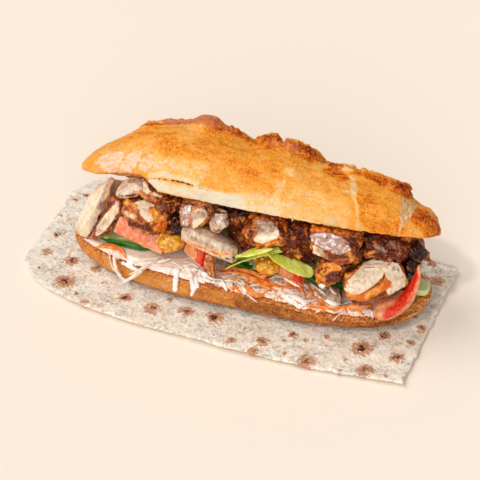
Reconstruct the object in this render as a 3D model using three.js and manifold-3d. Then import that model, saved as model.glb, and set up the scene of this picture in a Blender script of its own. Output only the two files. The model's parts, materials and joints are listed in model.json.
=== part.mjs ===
// A chicken shawarma sandwich: a crusty long roll cut into a thin base and a domed lid, stuffed with
// slaw, cucumber, tomato, lettuce and chopped grilled chicken, lying on a rectangle of thin flatbread.
//
// Millimetres. +X runs along the roll, +Y away from the open front, +Z up. The origin is the middle of
// the flatbread's underside, which lies on z = 0.
import * as THREE from "three";
import { ImprovedNoise } from "three/addons/math/ImprovedNoise.js";
import { mergeVertices } from "three/addons/utils/BufferGeometryUtils.js";
import Module from "manifold-3d";

// ---- Driving dimensions ----------------------------------------------------------------------------
const GAP = 0.35; // air left between pieces that touch

const FLATBREAD = {
  left: -135,
  backLeft: 70.5, // y of the back edge where it starts
  backRight: [135, 49.5],
  frontRight: [125, -66.5],
  wornCorner: [100, 36.5], // reach in x and y of the rounded left front corner
  tornCorner: [13, 24], // the same for the small round at the left back corner
  frontBow: 4, // how far the front edge bellies out
  thickness: 2.0,
  rimLift: 4.0, // how far the loose edges curl up
  rimReach: 26, // how far in from the edge the curl starts
  ripple: 0.7,
  columns: 20,
  rows: 9,
};

const BASE = {
  middle: [8.5, 1], // x, y of its centre
  halfLength: 117.5,
  halfWidth: 40,
  rimDraw: 0.9, // share of the width that is left at the cut face
  wornRimDraw: 0.97, // the same where the front rim has fallen
  height: 13,
  bottom: FLATBREAD.thickness + 0.7,
  leftFullness: 2.1, // exponents of the plan's ends: a higher one is blunter
  rightFullness: 3.7,
  sway: [0.025, 0.008], // how its axis turns away from the flatbread's, left and right of its middle
  frontDrop: 4.2, // how far the cut face has fallen at the right of the front rim
  dropReach: [10, 85], // x where it starts to fall and where it has fallen all the way
  deepestDrop: 0.35, // share of the base's own height that may be lost
  stations: 22,
};
const CUT_FACE = BASE.bottom + BASE.height; // height of the base's cut face

const LID = {
  middle: [10, 8, 57], // x, y, z of the centre of its cut face
  tilt: THREE.MathUtils.degToRad(25), // opens towards the front
  halfLength: 117,
  halfWidth: 36,
  // The crown's height over the cut face, at shares of the half length from the left tip to the right.
  crownLine: [
    [-1, 0],
    [-0.95, 9],
    [-0.86, 17.5],
    [-0.75, 26],
    [-0.6, 35],
    [-0.4, 39],
    [-0.25, 38.5],
    [0, 36],
    [0.08, 37],
    [0.2, 36.5],
    [0.28, 33],
    [0.5, 29.5],
    [0.75, 25.5],
    [0.88, 17.5],
    [0.96, 11],
    [1, 0],
  ],
  leftFullness: 2.0,
  rightFullness: 2.6,
  tuck: 0.07, // share of the width by which the cut edge draws in below the widest line
  hollow: 1.6, // the crumb's sag inside the cut face
  stations: 38,
  // Angles round the dome, from the front edge to the back one, closest where the crown is scored.
  domeAngles: [0, 12, 24, 36, 48, 60, 70, 78, 84, 88, 92, 96, 102, 111, 122, 136, 150, 165, 180],
  faceSteps: 5,
};
// Where the cut edge has broken away at the left front: x from, deepest and to, and the height lost.
const CHIP = { from: -98, deepest: -62, to: -46, height: 8 };

// The baker's cuts along the crown: x from and to, the angle round the dome at each end (0 front edge,
// 180 back edge), the height of the lifted lip and the depth of the torn crumb behind it.
const SCORES = [
  { from: -78, to: 4, angles: [84, 96], lip: 5.0, tear: 3.0 },
  { from: 2, to: 24, angles: [86, 92], lip: 6.5, tear: 2.0 },
  { from: 20, to: 50, angles: [84, 96], lip: 5.5, tear: 3.0 },
  { from: 48, to: 110, angles: [80, 94], lip: 5.0, tear: 3.0 },
];
const LIP_REACH = 7; // how far in front of a cut its lip swells
const LIP_EDGE = 3; // over how much crust the lip drops into the tear
const TEAR_REACH = 6; // how far behind it the torn crumb lies, and how wide it is
// The cut that crosses the lid near its right tip, from the crown down to the front edge.
const END_SCORE = { top: 109, foot: 98, width: 7, depth: 3.2 };

const SLAW = {
  inset: 12, // how far it stops short of the base's tips
  shift: -4,
  depth: 3.8,
  unevenness: 2.2,
  stations: 14,
  across: 5,
  shreds: [10, 7], // along the front and along the back
  shredsFrom: -72, // x of the first and last shred
  shredsTo: 100,
  shredWidth: 2.6,
  shredThickness: 1.6,
};
// Two long cabbage strands that have slipped over the front rim on the left.
const STRANDS = [
  [
    [-75, -20, 19.5],
    [-71, -29, 19.6],
    [-67.5, -36, 17.4],
    [-62, -38.6, 11.5],
    [-55, -38.8, 11.5],
  ],
  [
    [-43, -20, 20.5],
    [-48, -26, 20.4],
    [-51.5, -37.5, 18.8],
    [-57.5, -40.4, 13.5],
    [-63, -40.8, 8.5],
  ],
];

// ---- Helpers ---------------------------------------------------------------------------------------
const perlin = new ImprovedNoise();
const radians = THREE.MathUtils.degToRad;
const clamp = THREE.MathUtils.clamp;
const lerp = THREE.MathUtils.lerp;
const smooth = THREE.MathUtils.smoothstep;

/** A repeatable random source. */
function seeded(seed) {
  let state = (seed * 2654435761) >>> 0;
  return () => {
    state = (state + 0x6d2b79f5) >>> 0;
    let t = Math.imul(state ^ (state >>> 15), 1 | state);
    t = (t + Math.imul(t ^ (t >>> 7), 61 | t)) ^ t;
    return ((t ^ (t >>> 14)) >>> 0) / 4294967296;
  };
}

/** The height of a line of [place, height] points at a place. */
function heightAlong(line, place) {
  const next = Math.max(1, line.findIndex(([x]) => x >= place));
  const [x0, h0] = line[next - 1];
  const [x1, h1] = line[next];
  return lerp(h0, h1, (place - x0) / (x1 - x0));
}

/** How wide a roll of half length 1 is at s, from -1 to 1, with its own bluntness at each end. */
function planShare(s, leftFullness, rightFullness) {
  const fullness = s < 0 ? leftFullness : rightFullness;
  return Math.sqrt(Math.max(0, 1 - Math.abs(s) ** fullness));
}

/** Geometry with shared vertices and nothing but positions. */
function welded(geometry) {
  const bare = geometry.clone();
  bare.deleteAttribute("normal");
  bare.deleteAttribute("uv");
  return mergeVertices(bare, 1e-3);
}

/** A closed skin over rings of equal length, ending in a point at each end. Seen from the last point,
 * every ring runs anticlockwise. */
function loft(first, rings, last) {
  const points = [first, ...rings.flat(), last];
  const around = rings[0].length;
  const at = (ring, k) => 1 + ring * around + (k % around);
  const faces = [];
  for (let k = 0; k < around; k++) {
    faces.push(0, at(0, k + 1), at(0, k));
    for (let ring = 0; ring + 1 < rings.length; ring++) {
      const [a, b, c, d] = [at(ring, k), at(ring, k + 1), at(ring + 1, k + 1), at(ring + 1, k)];
      faces.push(a, b, c, a, c, d);
    }
    faces.push(points.length - 1, at(rings.length - 1, k), at(rings.length - 1, k + 1));
  }
  const geometry = new THREE.BufferGeometry().setFromPoints(points);
  geometry.setIndex(faces);
  return geometry;
}

/** Moves every point of a geometry by a function. */
function reshape(geometry, move) {
  const position = geometry.attributes.position;
  const point = new THREE.Vector3();
  for (let i = 0; i < position.count; i++) {
    point.fromBufferAttribute(position, i);
    move(point);
    position.setXYZ(i, point.x, point.y, point.z);
  }
  return geometry;
}

/** The same skin pushed out along its normals, to cut a neighbour with clearance. */
function grown(geometry, by) {
  const wider = geometry.clone();
  wider.computeVertexNormals();
  const { position, normal } = wider.attributes;
  for (let i = 0; i < position.count; i++) {
    position.setXYZ(
      i,
      position.getX(i) + by * normal.getX(i),
      position.getY(i) + by * normal.getY(i),
      position.getZ(i) + by * normal.getZ(i),
    );
  }
  wider.deleteAttribute("normal");
  return wider;
}

const wasm = await Module();
wasm.setup();

/** A welded geometry as a solid that can be cut and joined. */
function solidOf(geometry) {
  const vertProperties = new Float32Array(geometry.attributes.position.array);
  const triVerts = new Uint32Array(geometry.index.array);
  return new wasm.Manifold(new wasm.Mesh({ numProp: 3, vertProperties, triVerts }));
}

/** A solid as a geometry. */
function geometryOf(solid) {
  const mesh = solid.getMesh();
  const geometry = new THREE.BufferGeometry();
  geometry.setAttribute("position", new THREE.BufferAttribute(mesh.vertProperties, 3));
  geometry.setIndex(new THREE.BufferAttribute(mesh.triVerts, 1));
  return geometry;
}

/** The largest body of a solid that a cut may have left in several. */
function largest(solid) {
  const bodies = solid.decompose();
  return bodies.reduce((best, body) => (body.volume() > best.volume() ? body : best));
}

// ---- Flatbread -------------------------------------------------------------------------------------
/** How far a rounded corner's edge has drawn back, from 1 at its start to 0 where it has run out. */
function cornerShare(t, power) {
  return 1 - (1 - (1 - clamp(t, 0, 1)) ** power) ** (1 / power);
}

/** The x and y of the flatbread at column share u and row share v, both from 0 to 1. */
function flatbreadPoint(u, v) {
  const { left, backLeft, backRight, frontRight, wornCorner, tornCorner, frontBow } = FLATBREAD;
  const x = lerp(left, lerp(frontRight[0], backRight[0], v), u);
  const bowStart = left + wornCorner[0];
  const bow = Math.sin(Math.PI * clamp((x - bowStart) / (frontRight[0] - bowStart), 0, 1));
  const front = frontRight[1] + wornCorner[1] * cornerShare((x - left) / wornCorner[0], 1.8) - frontBow * bow;
  const backStart = left + tornCorner[0];
  const slope = (backRight[1] - backLeft) / (backRight[0] - backStart);
  const torn = tornCorner[1] * cornerShare((x - left) / tornCorner[0], 2);
  const back = backLeft + slope * Math.max(0, x - backStart) - torn;
  return [x, lerp(front, back, v)];
}

/** The flatbread: thin, flat under the roll, its loose edges curling up a little. */
function flatbreadGeometry() {
  const { thickness, rimLift, rimReach, ripple, columns, rows } = FLATBREAD;
  const sides = [];
  for (let column = 0; column <= columns; column++) {
    sides.push([0, 1].map((v) => flatbreadPoint(column / columns, v)[1]));
  }
  const points = [];
  for (const top of [false, true]) {
    for (let row = 0; row <= rows; row++) {
      for (let column = 0; column <= columns; column++) {
        const [x, y] = flatbreadPoint(column / columns, row / rows);
        const [left, right] = [flatbreadPoint(0, row / rows)[0], flatbreadPoint(1, row / rows)[0]];
        const [front, back] = sides[column];
        const loose = 1 - smooth(Math.min(x - left, right - x, y - front, back - y), 0, rimReach);
        const wave = 0.5 + 0.5 * perlin.noise(x / 34, y / 26, 1.7);
        const lift = rimLift * loose * wave;
        const blister = top ? ripple * loose * perlin.noise(x / 9, y / 9, 5.2) : 0;
        points.push(new THREE.Vector3(x, y, lift + (top ? thickness + blister : 0)));
      }
    }
  }
  const sheet = (rows + 1) * (columns + 1);
  const at = (row, column) => row * (columns + 1) + column;
  const faces = [];
  for (let row = 0; row < rows; row++) {
    for (let column = 0; column < columns; column++) {
      const [a, b] = [at(row, column), at(row, column + 1)];
      const [c, d] = [at(row + 1, column + 1), at(row + 1, column)];
      faces.push(a, c, b, a, d, c);
      faces.push(sheet + a, sheet + b, sheet + c, sheet + a, sheet + c, sheet + d);
    }
  }
  const rim = [];
  for (let column = 0; column < columns; column++) rim.push(at(0, column));
  for (let row = 0; row < rows; row++) rim.push(at(row, columns));
  for (let column = columns; column > 0; column--) rim.push(at(rows, column));
  for (let row = rows; row > 0; row--) rim.push(at(row, 0));
  rim.forEach((a, i) => {
    const b = rim[(i + 1) % rim.length];
    faces.push(a, b, sheet + b, a, sheet + b, sheet + a);
  });
  const geometry = new THREE.BufferGeometry().setFromPoints(points);
  geometry.setIndex(faces);
  return geometry;
}

// ---- Roll base -------------------------------------------------------------------------------------
/** Half width of the base at x, and the y of its middle there. */
function basePlan(x) {
  const s = clamp((x - BASE.middle[0]) / BASE.halfLength, -1, 1);
  const half = BASE.halfWidth * planShare(s, BASE.leftFullness, BASE.rightFullness);
  return { half, centre: BASE.middle[1] + BASE.sway[s < 0 ? 0 : 1] * (x - BASE.middle[0]), s };
}

/** How far the cut face has fallen at x and at a share across, from -1 front to 1 back. */
function cutFaceDrop(x, share) {
  return BASE.frontDrop * smooth(x, ...BASE.dropReach) * smooth(-share, 0.35, 1);
}

/** The thin bottom half of the roll, its crust below and its cut face up. */
function baseGeometry() {
  const { halfLength, height, bottom, stations, rimDraw, wornRimDraw, frontDrop, deepestDrop } = BASE;
  const turns = [0, 22, 45, 68, 90].map(radians);
  const faceShares = [0.88, 0.4, -0.4, -0.88];
  const rings = [];
  for (let i = 1; i < stations; i++) {
    const x = BASE.middle[0] - halfLength * Math.cos((Math.PI * i) / stations);
    const { half, centre, s } = basePlan(x);
    const depth = height * Math.sqrt(1 - Math.abs(s) ** 6);
    const ring = [];
    const add = (y, z) => {
      const rough = 1 + 0.012 * perlin.noise(x / 14, y / 10, z / 8);
      ring.push(new THREE.Vector3(x, centre + y * rough, bottom + height - depth + z));
    };
    // The crust, from the front rim down under the base and up to the back rim.
    const crust = turns.map((turn) => {
      return [half * (0.6 + 0.4 * Math.cos(turn)), depth * 0.5 * (1 - Math.sin(turn))];
    });
    const dropAt = (share) => Math.min(cutFaceDrop(x, share), depth * deepestDrop);
    add(-half * lerp(rimDraw, wornRimDraw, dropAt(-1) / frontDrop), depth - dropAt(-1));
    crust.forEach(([y, z]) => add(-y, z));
    [...crust].reverse().forEach(([y, z]) => add(y, z));
    add(half * rimDraw, depth);
    // The crumb of the cut face, a little uneven.
    faceShares.forEach((share) => {
      const crumb = 0.5 * perlin.noise(x / 7, share * 5, 9.3) - 0.5;
      add(half * rimDraw * share, depth - dropAt(share) + crumb);
    });
    rings.push(ring);
  }
  const tip = (sign) => {
    const x = BASE.middle[0] + sign * halfLength;
    return new THREE.Vector3(x, basePlan(x).centre, bottom + height - 1.5);
  };
  return loft(tip(-1), rings, tip(1));
}

// ---- Roll lid --------------------------------------------------------------------------------------
/** How far the lid's crust stands out at x and at an angle round the dome, from its baked-in cuts. */
function scoreRelief(x, angle) {
  let relief = 0;
  for (const { from, to, angles, lip, tear } of SCORES) {
    const share = (x - from) / (to - from);
    if (share <= 0 || share >= 1) continue;
    const line = lerp(angles[0], angles[1], share);
    const away = radians(angle - line) * LID.halfWidth; // along the crust, positive behind the lip
    const ends = smooth(share, 0, 0.2) * (1 - smooth(share, 0.84, 1));
    const behind = smooth(away, 0, LIP_EDGE);
    relief += ends * lip * Math.exp(-((away / LIP_REACH) ** 2)) * (1 - behind);
    relief -= ends * tear * Math.exp(-(((away - TEAR_REACH) / TEAR_REACH) ** 2)) * behind;
  }
  const rise = Math.sin(radians(Math.min(angle, 90)));
  const line = lerp(END_SCORE.foot, END_SCORE.top, rise);
  const across = Math.abs(x - line) / (END_SCORE.width * (0.45 + 0.55 * rise));
  if (angle < 130) relief -= END_SCORE.depth * Math.max(0, 1 - across ** 2);
  return relief;
}

/** How far the broken-away stretch of the front cut edge lies above the rest of it. */
function chipHeight(x, across) {
  const along = smooth(x, CHIP.from, CHIP.deepest) * (1 - smooth(x, CHIP.deepest + 8, CHIP.to));
  return CHIP.height * along * smooth(-across, 0.45, 1);
}

/** The domed top half of the roll, with its cut face on z = 0 and its length along x. */
function lidGeometry() {
  const { halfLength, halfWidth, crownLine, tuck, hollow, stations, domeAngles, faceSteps } = LID;
  const fullness = 0.86; // below 1 the dome's shoulders are fuller than an ellipse's
  const rings = [];
  for (let i = 1; i < stations; i++) {
    const u = (2 * i) / stations - 1;
    const s = 0.8 * u + 0.2 * Math.sin((Math.PI / 2) * u);
    const x = s * halfLength;
    const worldX = x + LID.middle[0];
    const share = planShare(s, LID.leftFullness, LID.rightFullness);
    const half = halfWidth * share;
    const height = heightAlong(crownLine, s);
    const ring = [];
    for (const angle of domeAngles) {
      const [cos, sin] = [Math.cos(radians(angle)), Math.abs(Math.sin(radians(angle)))];
      const y = -half * Math.sign(cos) * Math.abs(cos) ** fullness * (1 - tuck * (1 - sin) ** 3);
      const z = height * sin ** fullness;
      const out = new THREE.Vector2(y / (half * half + 1), z / (height * height + 1)).normalize();
      const lumps = 0.9 * perlin.noise(x / 22, y / 16, z / 16) * share;
      const relief = (scoreRelief(worldX, angle) + lumps) * Math.sqrt(sin * share);
      const floor = chipHeight(worldX, y / half);
      ring.push(new THREE.Vector3(x, y + out.x * relief, Math.max(floor, z + out.y * relief)));
    }
    for (let k = 1; k < faceSteps; k++) {
      const across = 1 - (2 * k) / faceSteps;
      const sag = hollow * share * (1 - across ** 2) + 0.4 * perlin.noise(x / 6, across * 6, 4.4);
      const floor = Math.max(0.1, sag) + chipHeight(worldX, across);
      ring.push(new THREE.Vector3(x, half * (1 - tuck) * across, floor));
    }
    rings.push(ring.reverse());
  }
  const first = new THREE.Vector3(-halfLength, 0, 1);
  const last = new THREE.Vector3(halfLength, 0, 1);
  return loft(first, rings, last);
}

// ---- Filling shapes --------------------------------------------------------------------------------
/** A piece of chopped meat: a box of the given size with knife-cut corners, ragged and a little bent. */
function meatGeometry({ size, detail = 2, cuts = 4, ragged = 0.09, bend = 0, seed }) {
  const random = seeded(seed);
  const planes = [
    [1, 0, 0],
    [-1, 0, 0],
    [0, 1, 0],
    [0, -1, 0],
    [0, 0, 1],
    [0, 0, -1],
  ].map((normal) => ({ normal: new THREE.Vector3(...normal), reach: 1 }));
  for (let i = 0; i < cuts; i++) {
    const normal = new THREE.Vector3(random() - 0.5, random() - 0.5, random() - 0.5).normalize();
    planes.push({ normal, reach: 0.8 + 0.25 * random() });
  }
  const roundness = 7;
  const geometry = new THREE.IcosahedronGeometry(1, detail);
  reshape(geometry, (p) => {
    p.normalize();
    let sum = 0;
    for (const { normal, reach } of planes) sum += Math.max(0, p.dot(normal) / reach) ** roundness;
    const crag = perlin.noise(p.x * 2.3 + seed, p.y * 2.3, p.z * 2.3);
    p.multiplyScalar(sum ** (-1 / roundness) * (1 + ragged * crag));
    p.z += bend * (0.5 - p.x * p.x);
    p.multiply(new THREE.Vector3(...size).multiplyScalar(0.5));
  });
  return welded(geometry);
}

/** A slice of cucumber lying flat, cut along the fruit, so that it is long with full round ends. */
function cucumberGeometry(size) {
  const [length, width, thickness] = size;
  const fullness = 2.7;
  const profile = [
    [0, -0.5],
    [0.93, -0.5],
    [1, -0.25],
    [1, 0.25],
    [0.93, 0.5],
    [0, 0.5],
  ].map(([r, z]) => new THREE.Vector2(r, z));
  const geometry = new THREE.LatheGeometry(profile, 18).rotateX(Math.PI / 2);
  reshape(geometry, (p) => {
    const radius = Math.hypot(p.x, p.y) || 1;
    const reach = Math.abs(p.x / radius) ** fullness + Math.abs(p.y / radius) ** fullness;
    const stretch = reach ? reach ** (-1 / fullness) : 0;
    p.set((p.x * stretch * length) / 2, (p.y * stretch * width) / 2, p.z * thickness);
  });
  return welded(geometry);
}

/** A half slice of tomato: its flat cut side on y = 0 and its skin behind. */
function tomatoGeometry(size) {
  const [length, depth, thickness] = size;
  const steps = 10;
  const shape = new THREE.Shape();
  for (let i = 0; i <= steps; i++) {
    const turn = (Math.PI * i) / steps;
    shape[i ? "lineTo" : "moveTo"](Math.cos(turn), Math.sin(turn));
  }
  const bevel = 0.07;
  const geometry = new THREE.ExtrudeGeometry(shape, {
    depth: 1 - 2 * bevel,
    bevelThickness: bevel,
    bevelSize: bevel,
    bevelOffset: -bevel,
    bevelSegments: 1,
  });
  geometry.translate(0, -bevel, bevel - 0.5);
  geometry.scale(length / 2, depth, thickness);
  return welded(geometry);
}

/** A long wedge of tomato bent along a path, its skin to one side and its two cut faces meeting on the
 * other. It is broad and blunt at its start and runs out to a sliver. */
function wedgeGeometry({ path, skinward, width, depth, taper }) {
  const stations = 11;
  const curve = new THREE.CatmullRomCurve3(path.map((p) => new THREE.Vector3(...p)));
  const section = [
    [-0.5, 0],
    [-0.28, -0.45],
    [0, -0.68],
    [0.28, -0.45],
    [0.5, 0],
    [0.36, 0.2],
    [0, 0.32],
    [-0.36, 0.2],
  ];
  const rings = [];
  for (let i = 1; i < stations; i++) {
    const t = i / stations;
    const at = curve.getPoint(t);
    const along = curve.getTangent(t);
    const across = new THREE.Vector3(...skinward).cross(along).normalize();
    const out = new THREE.Vector3().crossVectors(along, across);
    const girth = Math.sqrt(1 - (2 * t - 1) ** 6) * (1 - taper * t);
    const corner = ([a, o]) =>
      at.clone().addScaledVector(across, a * width * girth).addScaledVector(out, o * depth * girth);
    rings.push(section.map(corner));
  }
  return loft(curve.getPoint(0), rings, curve.getPoint(1));
}

/** A flat strip along a curve, such as a shred or a ribbon of leaf, that tapers to both ends. */
function stripGeometry({ path, width, thickness, twist = 0, ripple = 0, stations = 7, seed = 0 }) {
  const curve = new THREE.CatmullRomCurve3(path.map((p) => new THREE.Vector3(...p)));
  const rings = [];
  for (let i = 1; i < stations; i++) {
    const t = i / stations;
    const at = curve.getPoint(t);
    const along = curve.getTangent(t);
    const side = new THREE.Vector3(0, 0, 1).cross(along).normalize();
    side.applyAxisAngle(along, twist * (t - 0.5) + ripple * perlin.noise(t * 6, seed, 0));
    const up = new THREE.Vector3().crossVectors(along, side);
    const girth = Math.sqrt(Math.sin(Math.PI * t));
    const corner = (w, h) =>
      at.clone().addScaledVector(side, w * width * 0.5 * girth).addScaledVector(up, h * thickness * 0.5);
    rings.push([corner(-1, -1), corner(1, -1), corner(1, 1), corner(-1, 1)]);
  }
  return loft(curve.getPoint(0), rings, curve.getPoint(1));
}

// ---- Where the fillings lie ------------------------------------------------------------------------
/** A place by its middle and its turn in degrees about x, y and z. */
function spot(at, turn) {
  return new THREE.Matrix4().makeRotationFromEuler(new THREE.Euler(...turn.map(radians))).setPosition(...at);
}

/** A place with its x axis from one point to another, rolled in degrees about that axis. */
function span(from, to, roll) {
  const [start, end] = [new THREE.Vector3(...from), new THREE.Vector3(...to)];
  const along = end.clone().sub(start).normalize();
  const side = new THREE.Vector3(0, 0, 1).cross(along).normalize().applyAxisAngle(along, radians(roll));
  const up = new THREE.Vector3().crossVectors(along, side);
  return new THREE.Matrix4().makeBasis(along, side, up).setPosition(start.lerp(end, 0.5));
}

const distance = (from, to) => new THREE.Vector3(...from).distanceTo(new THREE.Vector3(...to));

const WHITE_MEAT = 0xe3cfb4;
const ROAST = 0xa9663a;
const CHAR = 0x3b2219;
const TOMATO = 0xd5502f;
const PULP = 0xdd9a2e;
const CUCUMBER = 0x9cbf6a;
const LEAF = 0x9fbb3c;
const ONION = 0xa8622c;

const chunk = (name, at, size, turn, seed, { colour = ROAST, ...more } = {}) => ({
  name: `chicken_${name}`,
  colour,
  place: spot(at, turn),
  geometry: meatGeometry({ size, seed, ...more }),
});
const strip = (name, from, to, section, roll, seed, { colour = WHITE_MEAT, ...more } = {}) => ({
  name: `chicken_${name}`,
  colour,
  place: span(from, to, roll),
  geometry: meatGeometry({ size: [distance(from, to), ...section], seed, ...more }),
});
const cucumber = (name, at, size, turn) => ({
  name: `cucumber_${name}`,
  colour: CUCUMBER,
  place: spot(at, turn),
  geometry: cucumberGeometry(size),
});
const tomato = (name, at, size, turn) => ({
  name: `tomato_${name}`,
  colour: TOMATO,
  place: spot(at, turn),
  geometry: tomatoGeometry(size),
});
const pulp = (name, at, size, seed) => ({
  name: `tomato_pulp_${name}`,
  colour: PULP,
  place: spot(at, [0, 0, 0]),
  geometry: meatGeometry({ size, seed, detail: 1, cuts: 1, ragged: 0.15 }),
});
const leaf = (name, path, width, twist, seed) => ({
  name: `lettuce_${name}`,
  colour: LEAF,
  place: new THREE.Matrix4(),
  geometry: stripGeometry({ path, width, thickness: 1.3, twist, ripple: 0.5, stations: 8, seed }),
});

const plain = { detail: 1, cuts: 3 };
const pale = { ...plain, colour: WHITE_MEAT };
const charred = { ...plain, colour: CHAR };

// Earlier pieces are whole, and later ones are pressed into the room that is left.
const FRONT = [
  {
    name: "tomato_wedge",
    colour: TOMATO,
    place: new THREE.Matrix4(),
    geometry: wedgeGeometry({
      path: [
        [96, -30.5, 19],
        [106.5, -27, 20.5],
        [115, -19, 25],
        [118.5, -12, 35],
        [118.5, -10, 48],
      ],
      skinward: [0.8, -0.3, -0.5],
      width: 15,
      depth: 17,
      taper: 0.85,
    }),
  },
  chunk("right_chunk", [94.5, -21, 39.5], [37, 28, 24], [-22, -24, 12], 11, { colour: WHITE_MEAT, cuts: 5 }),
  leaf("under_meat", [[8, -31, 41.5], [17, -32.5, 46], [26, -31.5, 50], [35, -28, 52.5]], 5, -0.4, 8),
  strip("end_strip", [-99, -17, 18], [-78, -5, 63], [14, 13], 8, 2, { bend: 0.25 }),
  strip("left_slice", [-92, -17, 19], [-72, -14, 55], [17, 9], 20, 3),
  cucumber("front_left", [-67, -1, 22.5], [60, 36, 4.5], [2, 0, -1]),
  {
    name: "tomato_left",
    colour: TOMATO,
    place: span([-71, -22, 41], [-39, -21, 29.5], -24),
    geometry: tomatoGeometry([34, 17, 12]),
  },
  pulp("left", [-36.5, -17, 32], [17, 16, 14], 41),
  tomato("middle_left", [-19, -22, 33], [22, 18, 14], [-20, 8, -42]),
  {
    name: "onion_strip",
    colour: ONION,
    place: span([-8.5, -28, 39], [-4.5, -35.5, 17.5], 0),
    geometry: meatGeometry({ size: [24, 7.5, 4.5], detail: 1, cuts: 2, bend: 0.5, seed: 5 }),
  },
  strip("long", [-25, -22, 51], [12, -26, 40], [22, 13], -16, 4),
  chunk("saucy_left", [-18, -19, 60], [24, 24, 17], [0, -10, 20], 6),
  chunk("saucy_bit", [-3, -22, 59], [13, 15, 11], [10, 0, 30], 7, pale),
  chunk("crusted_left", [-52, -14, 50], [30, 26, 22], [0, 12, 6], 8, { cuts: 5 }),
  leaf("front_low", [[0, -30, 27], [14, -29, 38], [27, -27, 46], [40, -20, 48], [52, -8, 46]], 6, 1.2, 3),
  leaf("front_high", [[6, -28, 36], [18, -27, 45], [30, -24, 51], [42, -14, 54]], 5, 0.8, 6),
  leaf("front_tip", [[27, -28, 48], [38, -30, 46], [50, -29, 41.5], [60, -25, 36]], 13, 1.5, 5),
  tomato("middle_right", [40, -22, 31.5], [25, 13, 11], [-15, 4, -38]),
  pulp("right", [27, -18, 31.5], [15, 15, 13], 42),
  cucumber("front_middle", [16, -2, 24], [46, 34, 4.5], [4, 0, -2]),
  chunk("pale_middle", [26, -16, 57], [28, 26, 15], [8, -16, 4], 9, { colour: WHITE_MEAT }),
  chunk("dark_middle", [47, -15, 50], [23, 24, 30], [0, 0, 14], 10, { ...plain, cuts: 4 }),
  chunk("saucy_right", [67, -18, 60], [35, 26, 19], [6, 8, -6], 12),
  chunk("crusted_right", [72, -22, 45], [26, 24, 17], [0, -14, 8], 13, { cuts: 5 }),
  cucumber("front_right", [66, 0, 23.5], [46, 34, 4.5], [4, 0, 2]),
  chunk("low_bit", [72, -27, 23.5], [10, 12, 11], [20, 0, 10], 14, plain),
  chunk("left_top", [-63, -13, 65], [20, 20, 9], [10, -24, 10], 15, pale),
  chunk("under_flap", [-48, -13, 67], [18, 20, 8], [14, 22, 0], 16, plain),
  chunk("crust_high", [-40, -9, 58], [16, 20, 11], [0, 10, 0], 23, plain),
  chunk("charred_left", [-34, -10, 44], [17, 20, 22], [0, 10, 8], 17, { ...charred, cuts: 4 }),
  chunk("dark_high", [6, -6, 57], [28, 24, 18], [8, 6, 0], 18, charred),
  chunk("under_long", [8, -6, 38], [26, 24, 13], [0, 8, 4], 19, plain),
  chunk("right_high", [92, -5, 54], [41, 27, 17], [6, 12, -4], 20, plain),
  chunk("charred_right", [111, -4, 39], [11, 18, 34], [-10, 12, 12], 21, { ...charred, cuts: 4 }),
  strip("hooked_end", [110, 1, 53], [123, 2, 42], [9, 5], 0, 22, { ...plain, bend: 0.7 }),
  cucumber("end_right", [118, 2, 20.6], [13, 13, 4.5], [0, 4, 0]),
];

const BACK = [
  tomato("back_left", [-52, 36, 25], [40, 20, 8], [0, 0, 176]),
  tomato("back_right", [54, 38, 25], [42, 20, 8], [0, 0, 184]),
  cucumber("back_left", [-10, 24, 22.5], [50, 30, 4.5], [-2, 0, 4]),
  cucumber("back_right", [92, 22, 22.5], [34, 26, 4.5], [-2, 2, -6]),
  leaf("back", [[-30, 38, 27], [-12, 40, 29], [6, 38, 26], [24, 40, 28]], 11, 0.7, 9),
  chunk("back_end_left", [-84, 10, 34], [30, 30, 22], [-12, 8, 6], 31, pale),
  chunk("back_left", [-54, 22, 37], [32, 34, 17], [-20, 0, 8], 32, plain),
  chunk("back_middle_left", [-20, 24, 38], [34, 36, 19], [-22, 6, -6], 33, pale),
  chunk("back_middle", [14, 24, 38], [32, 38, 19], [-22, -5, 4], 34, plain),
  chunk("back_middle_right", [47, 25, 38], [32, 36, 17], [-22, 4, 8], 35, plain),
  chunk("back_right", [79, 23, 36], [32, 34, 18], [-20, -6, 0], 36, pale),
  chunk("back_end_right", [105, 16, 34], [22, 28, 16], [-16, 6, -10], 37, plain),
];

// ---- The slaw bed ----------------------------------------------------------------------------------
/** The dressed cabbage and carrot spread over the cut face: an uneven slab. */
function slawCoreGeometry() {
  const { inset, shift, depth, unevenness, stations, across } = SLAW;
  const reach = BASE.halfLength - inset;
  const slope = 0.94; // share of the width that is left on top
  const rings = [];
  for (let i = 1; i < stations; i++) {
    const x = BASE.middle[0] + shift - reach * Math.cos((Math.PI * i) / stations);
    const { half, centre } = basePlan(x);
    const side = Math.max(2, half * BASE.rimDraw - 1.5);
    const ring = [];
    for (let k = 0; k <= across; k++) {
      const share = (2 * k) / across - 1;
      ring.push(new THREE.Vector3(x, centre + side * share, CUT_FACE + 0.6 - cutFaceDrop(x, share)));
    }
    for (let k = across; k >= 0; k--) {
      const share = (2 * k) / across - 1;
      const y = side * share * slope;
      const mound = depth + unevenness * perlin.noise(x / 11, y / 9, 2.6) - cutFaceDrop(x, share);
      ring.push(new THREE.Vector3(x, centre + y, CUT_FACE + mound));
    }
    rings.push(ring);
  }
  const tip = (sign) => {
    const x = BASE.middle[0] + shift + sign * reach;
    return new THREE.Vector3(x, basePlan(x).centre, CUT_FACE + 1.6);
  };
  return loft(tip(-1), rings, tip(1));
}

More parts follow.
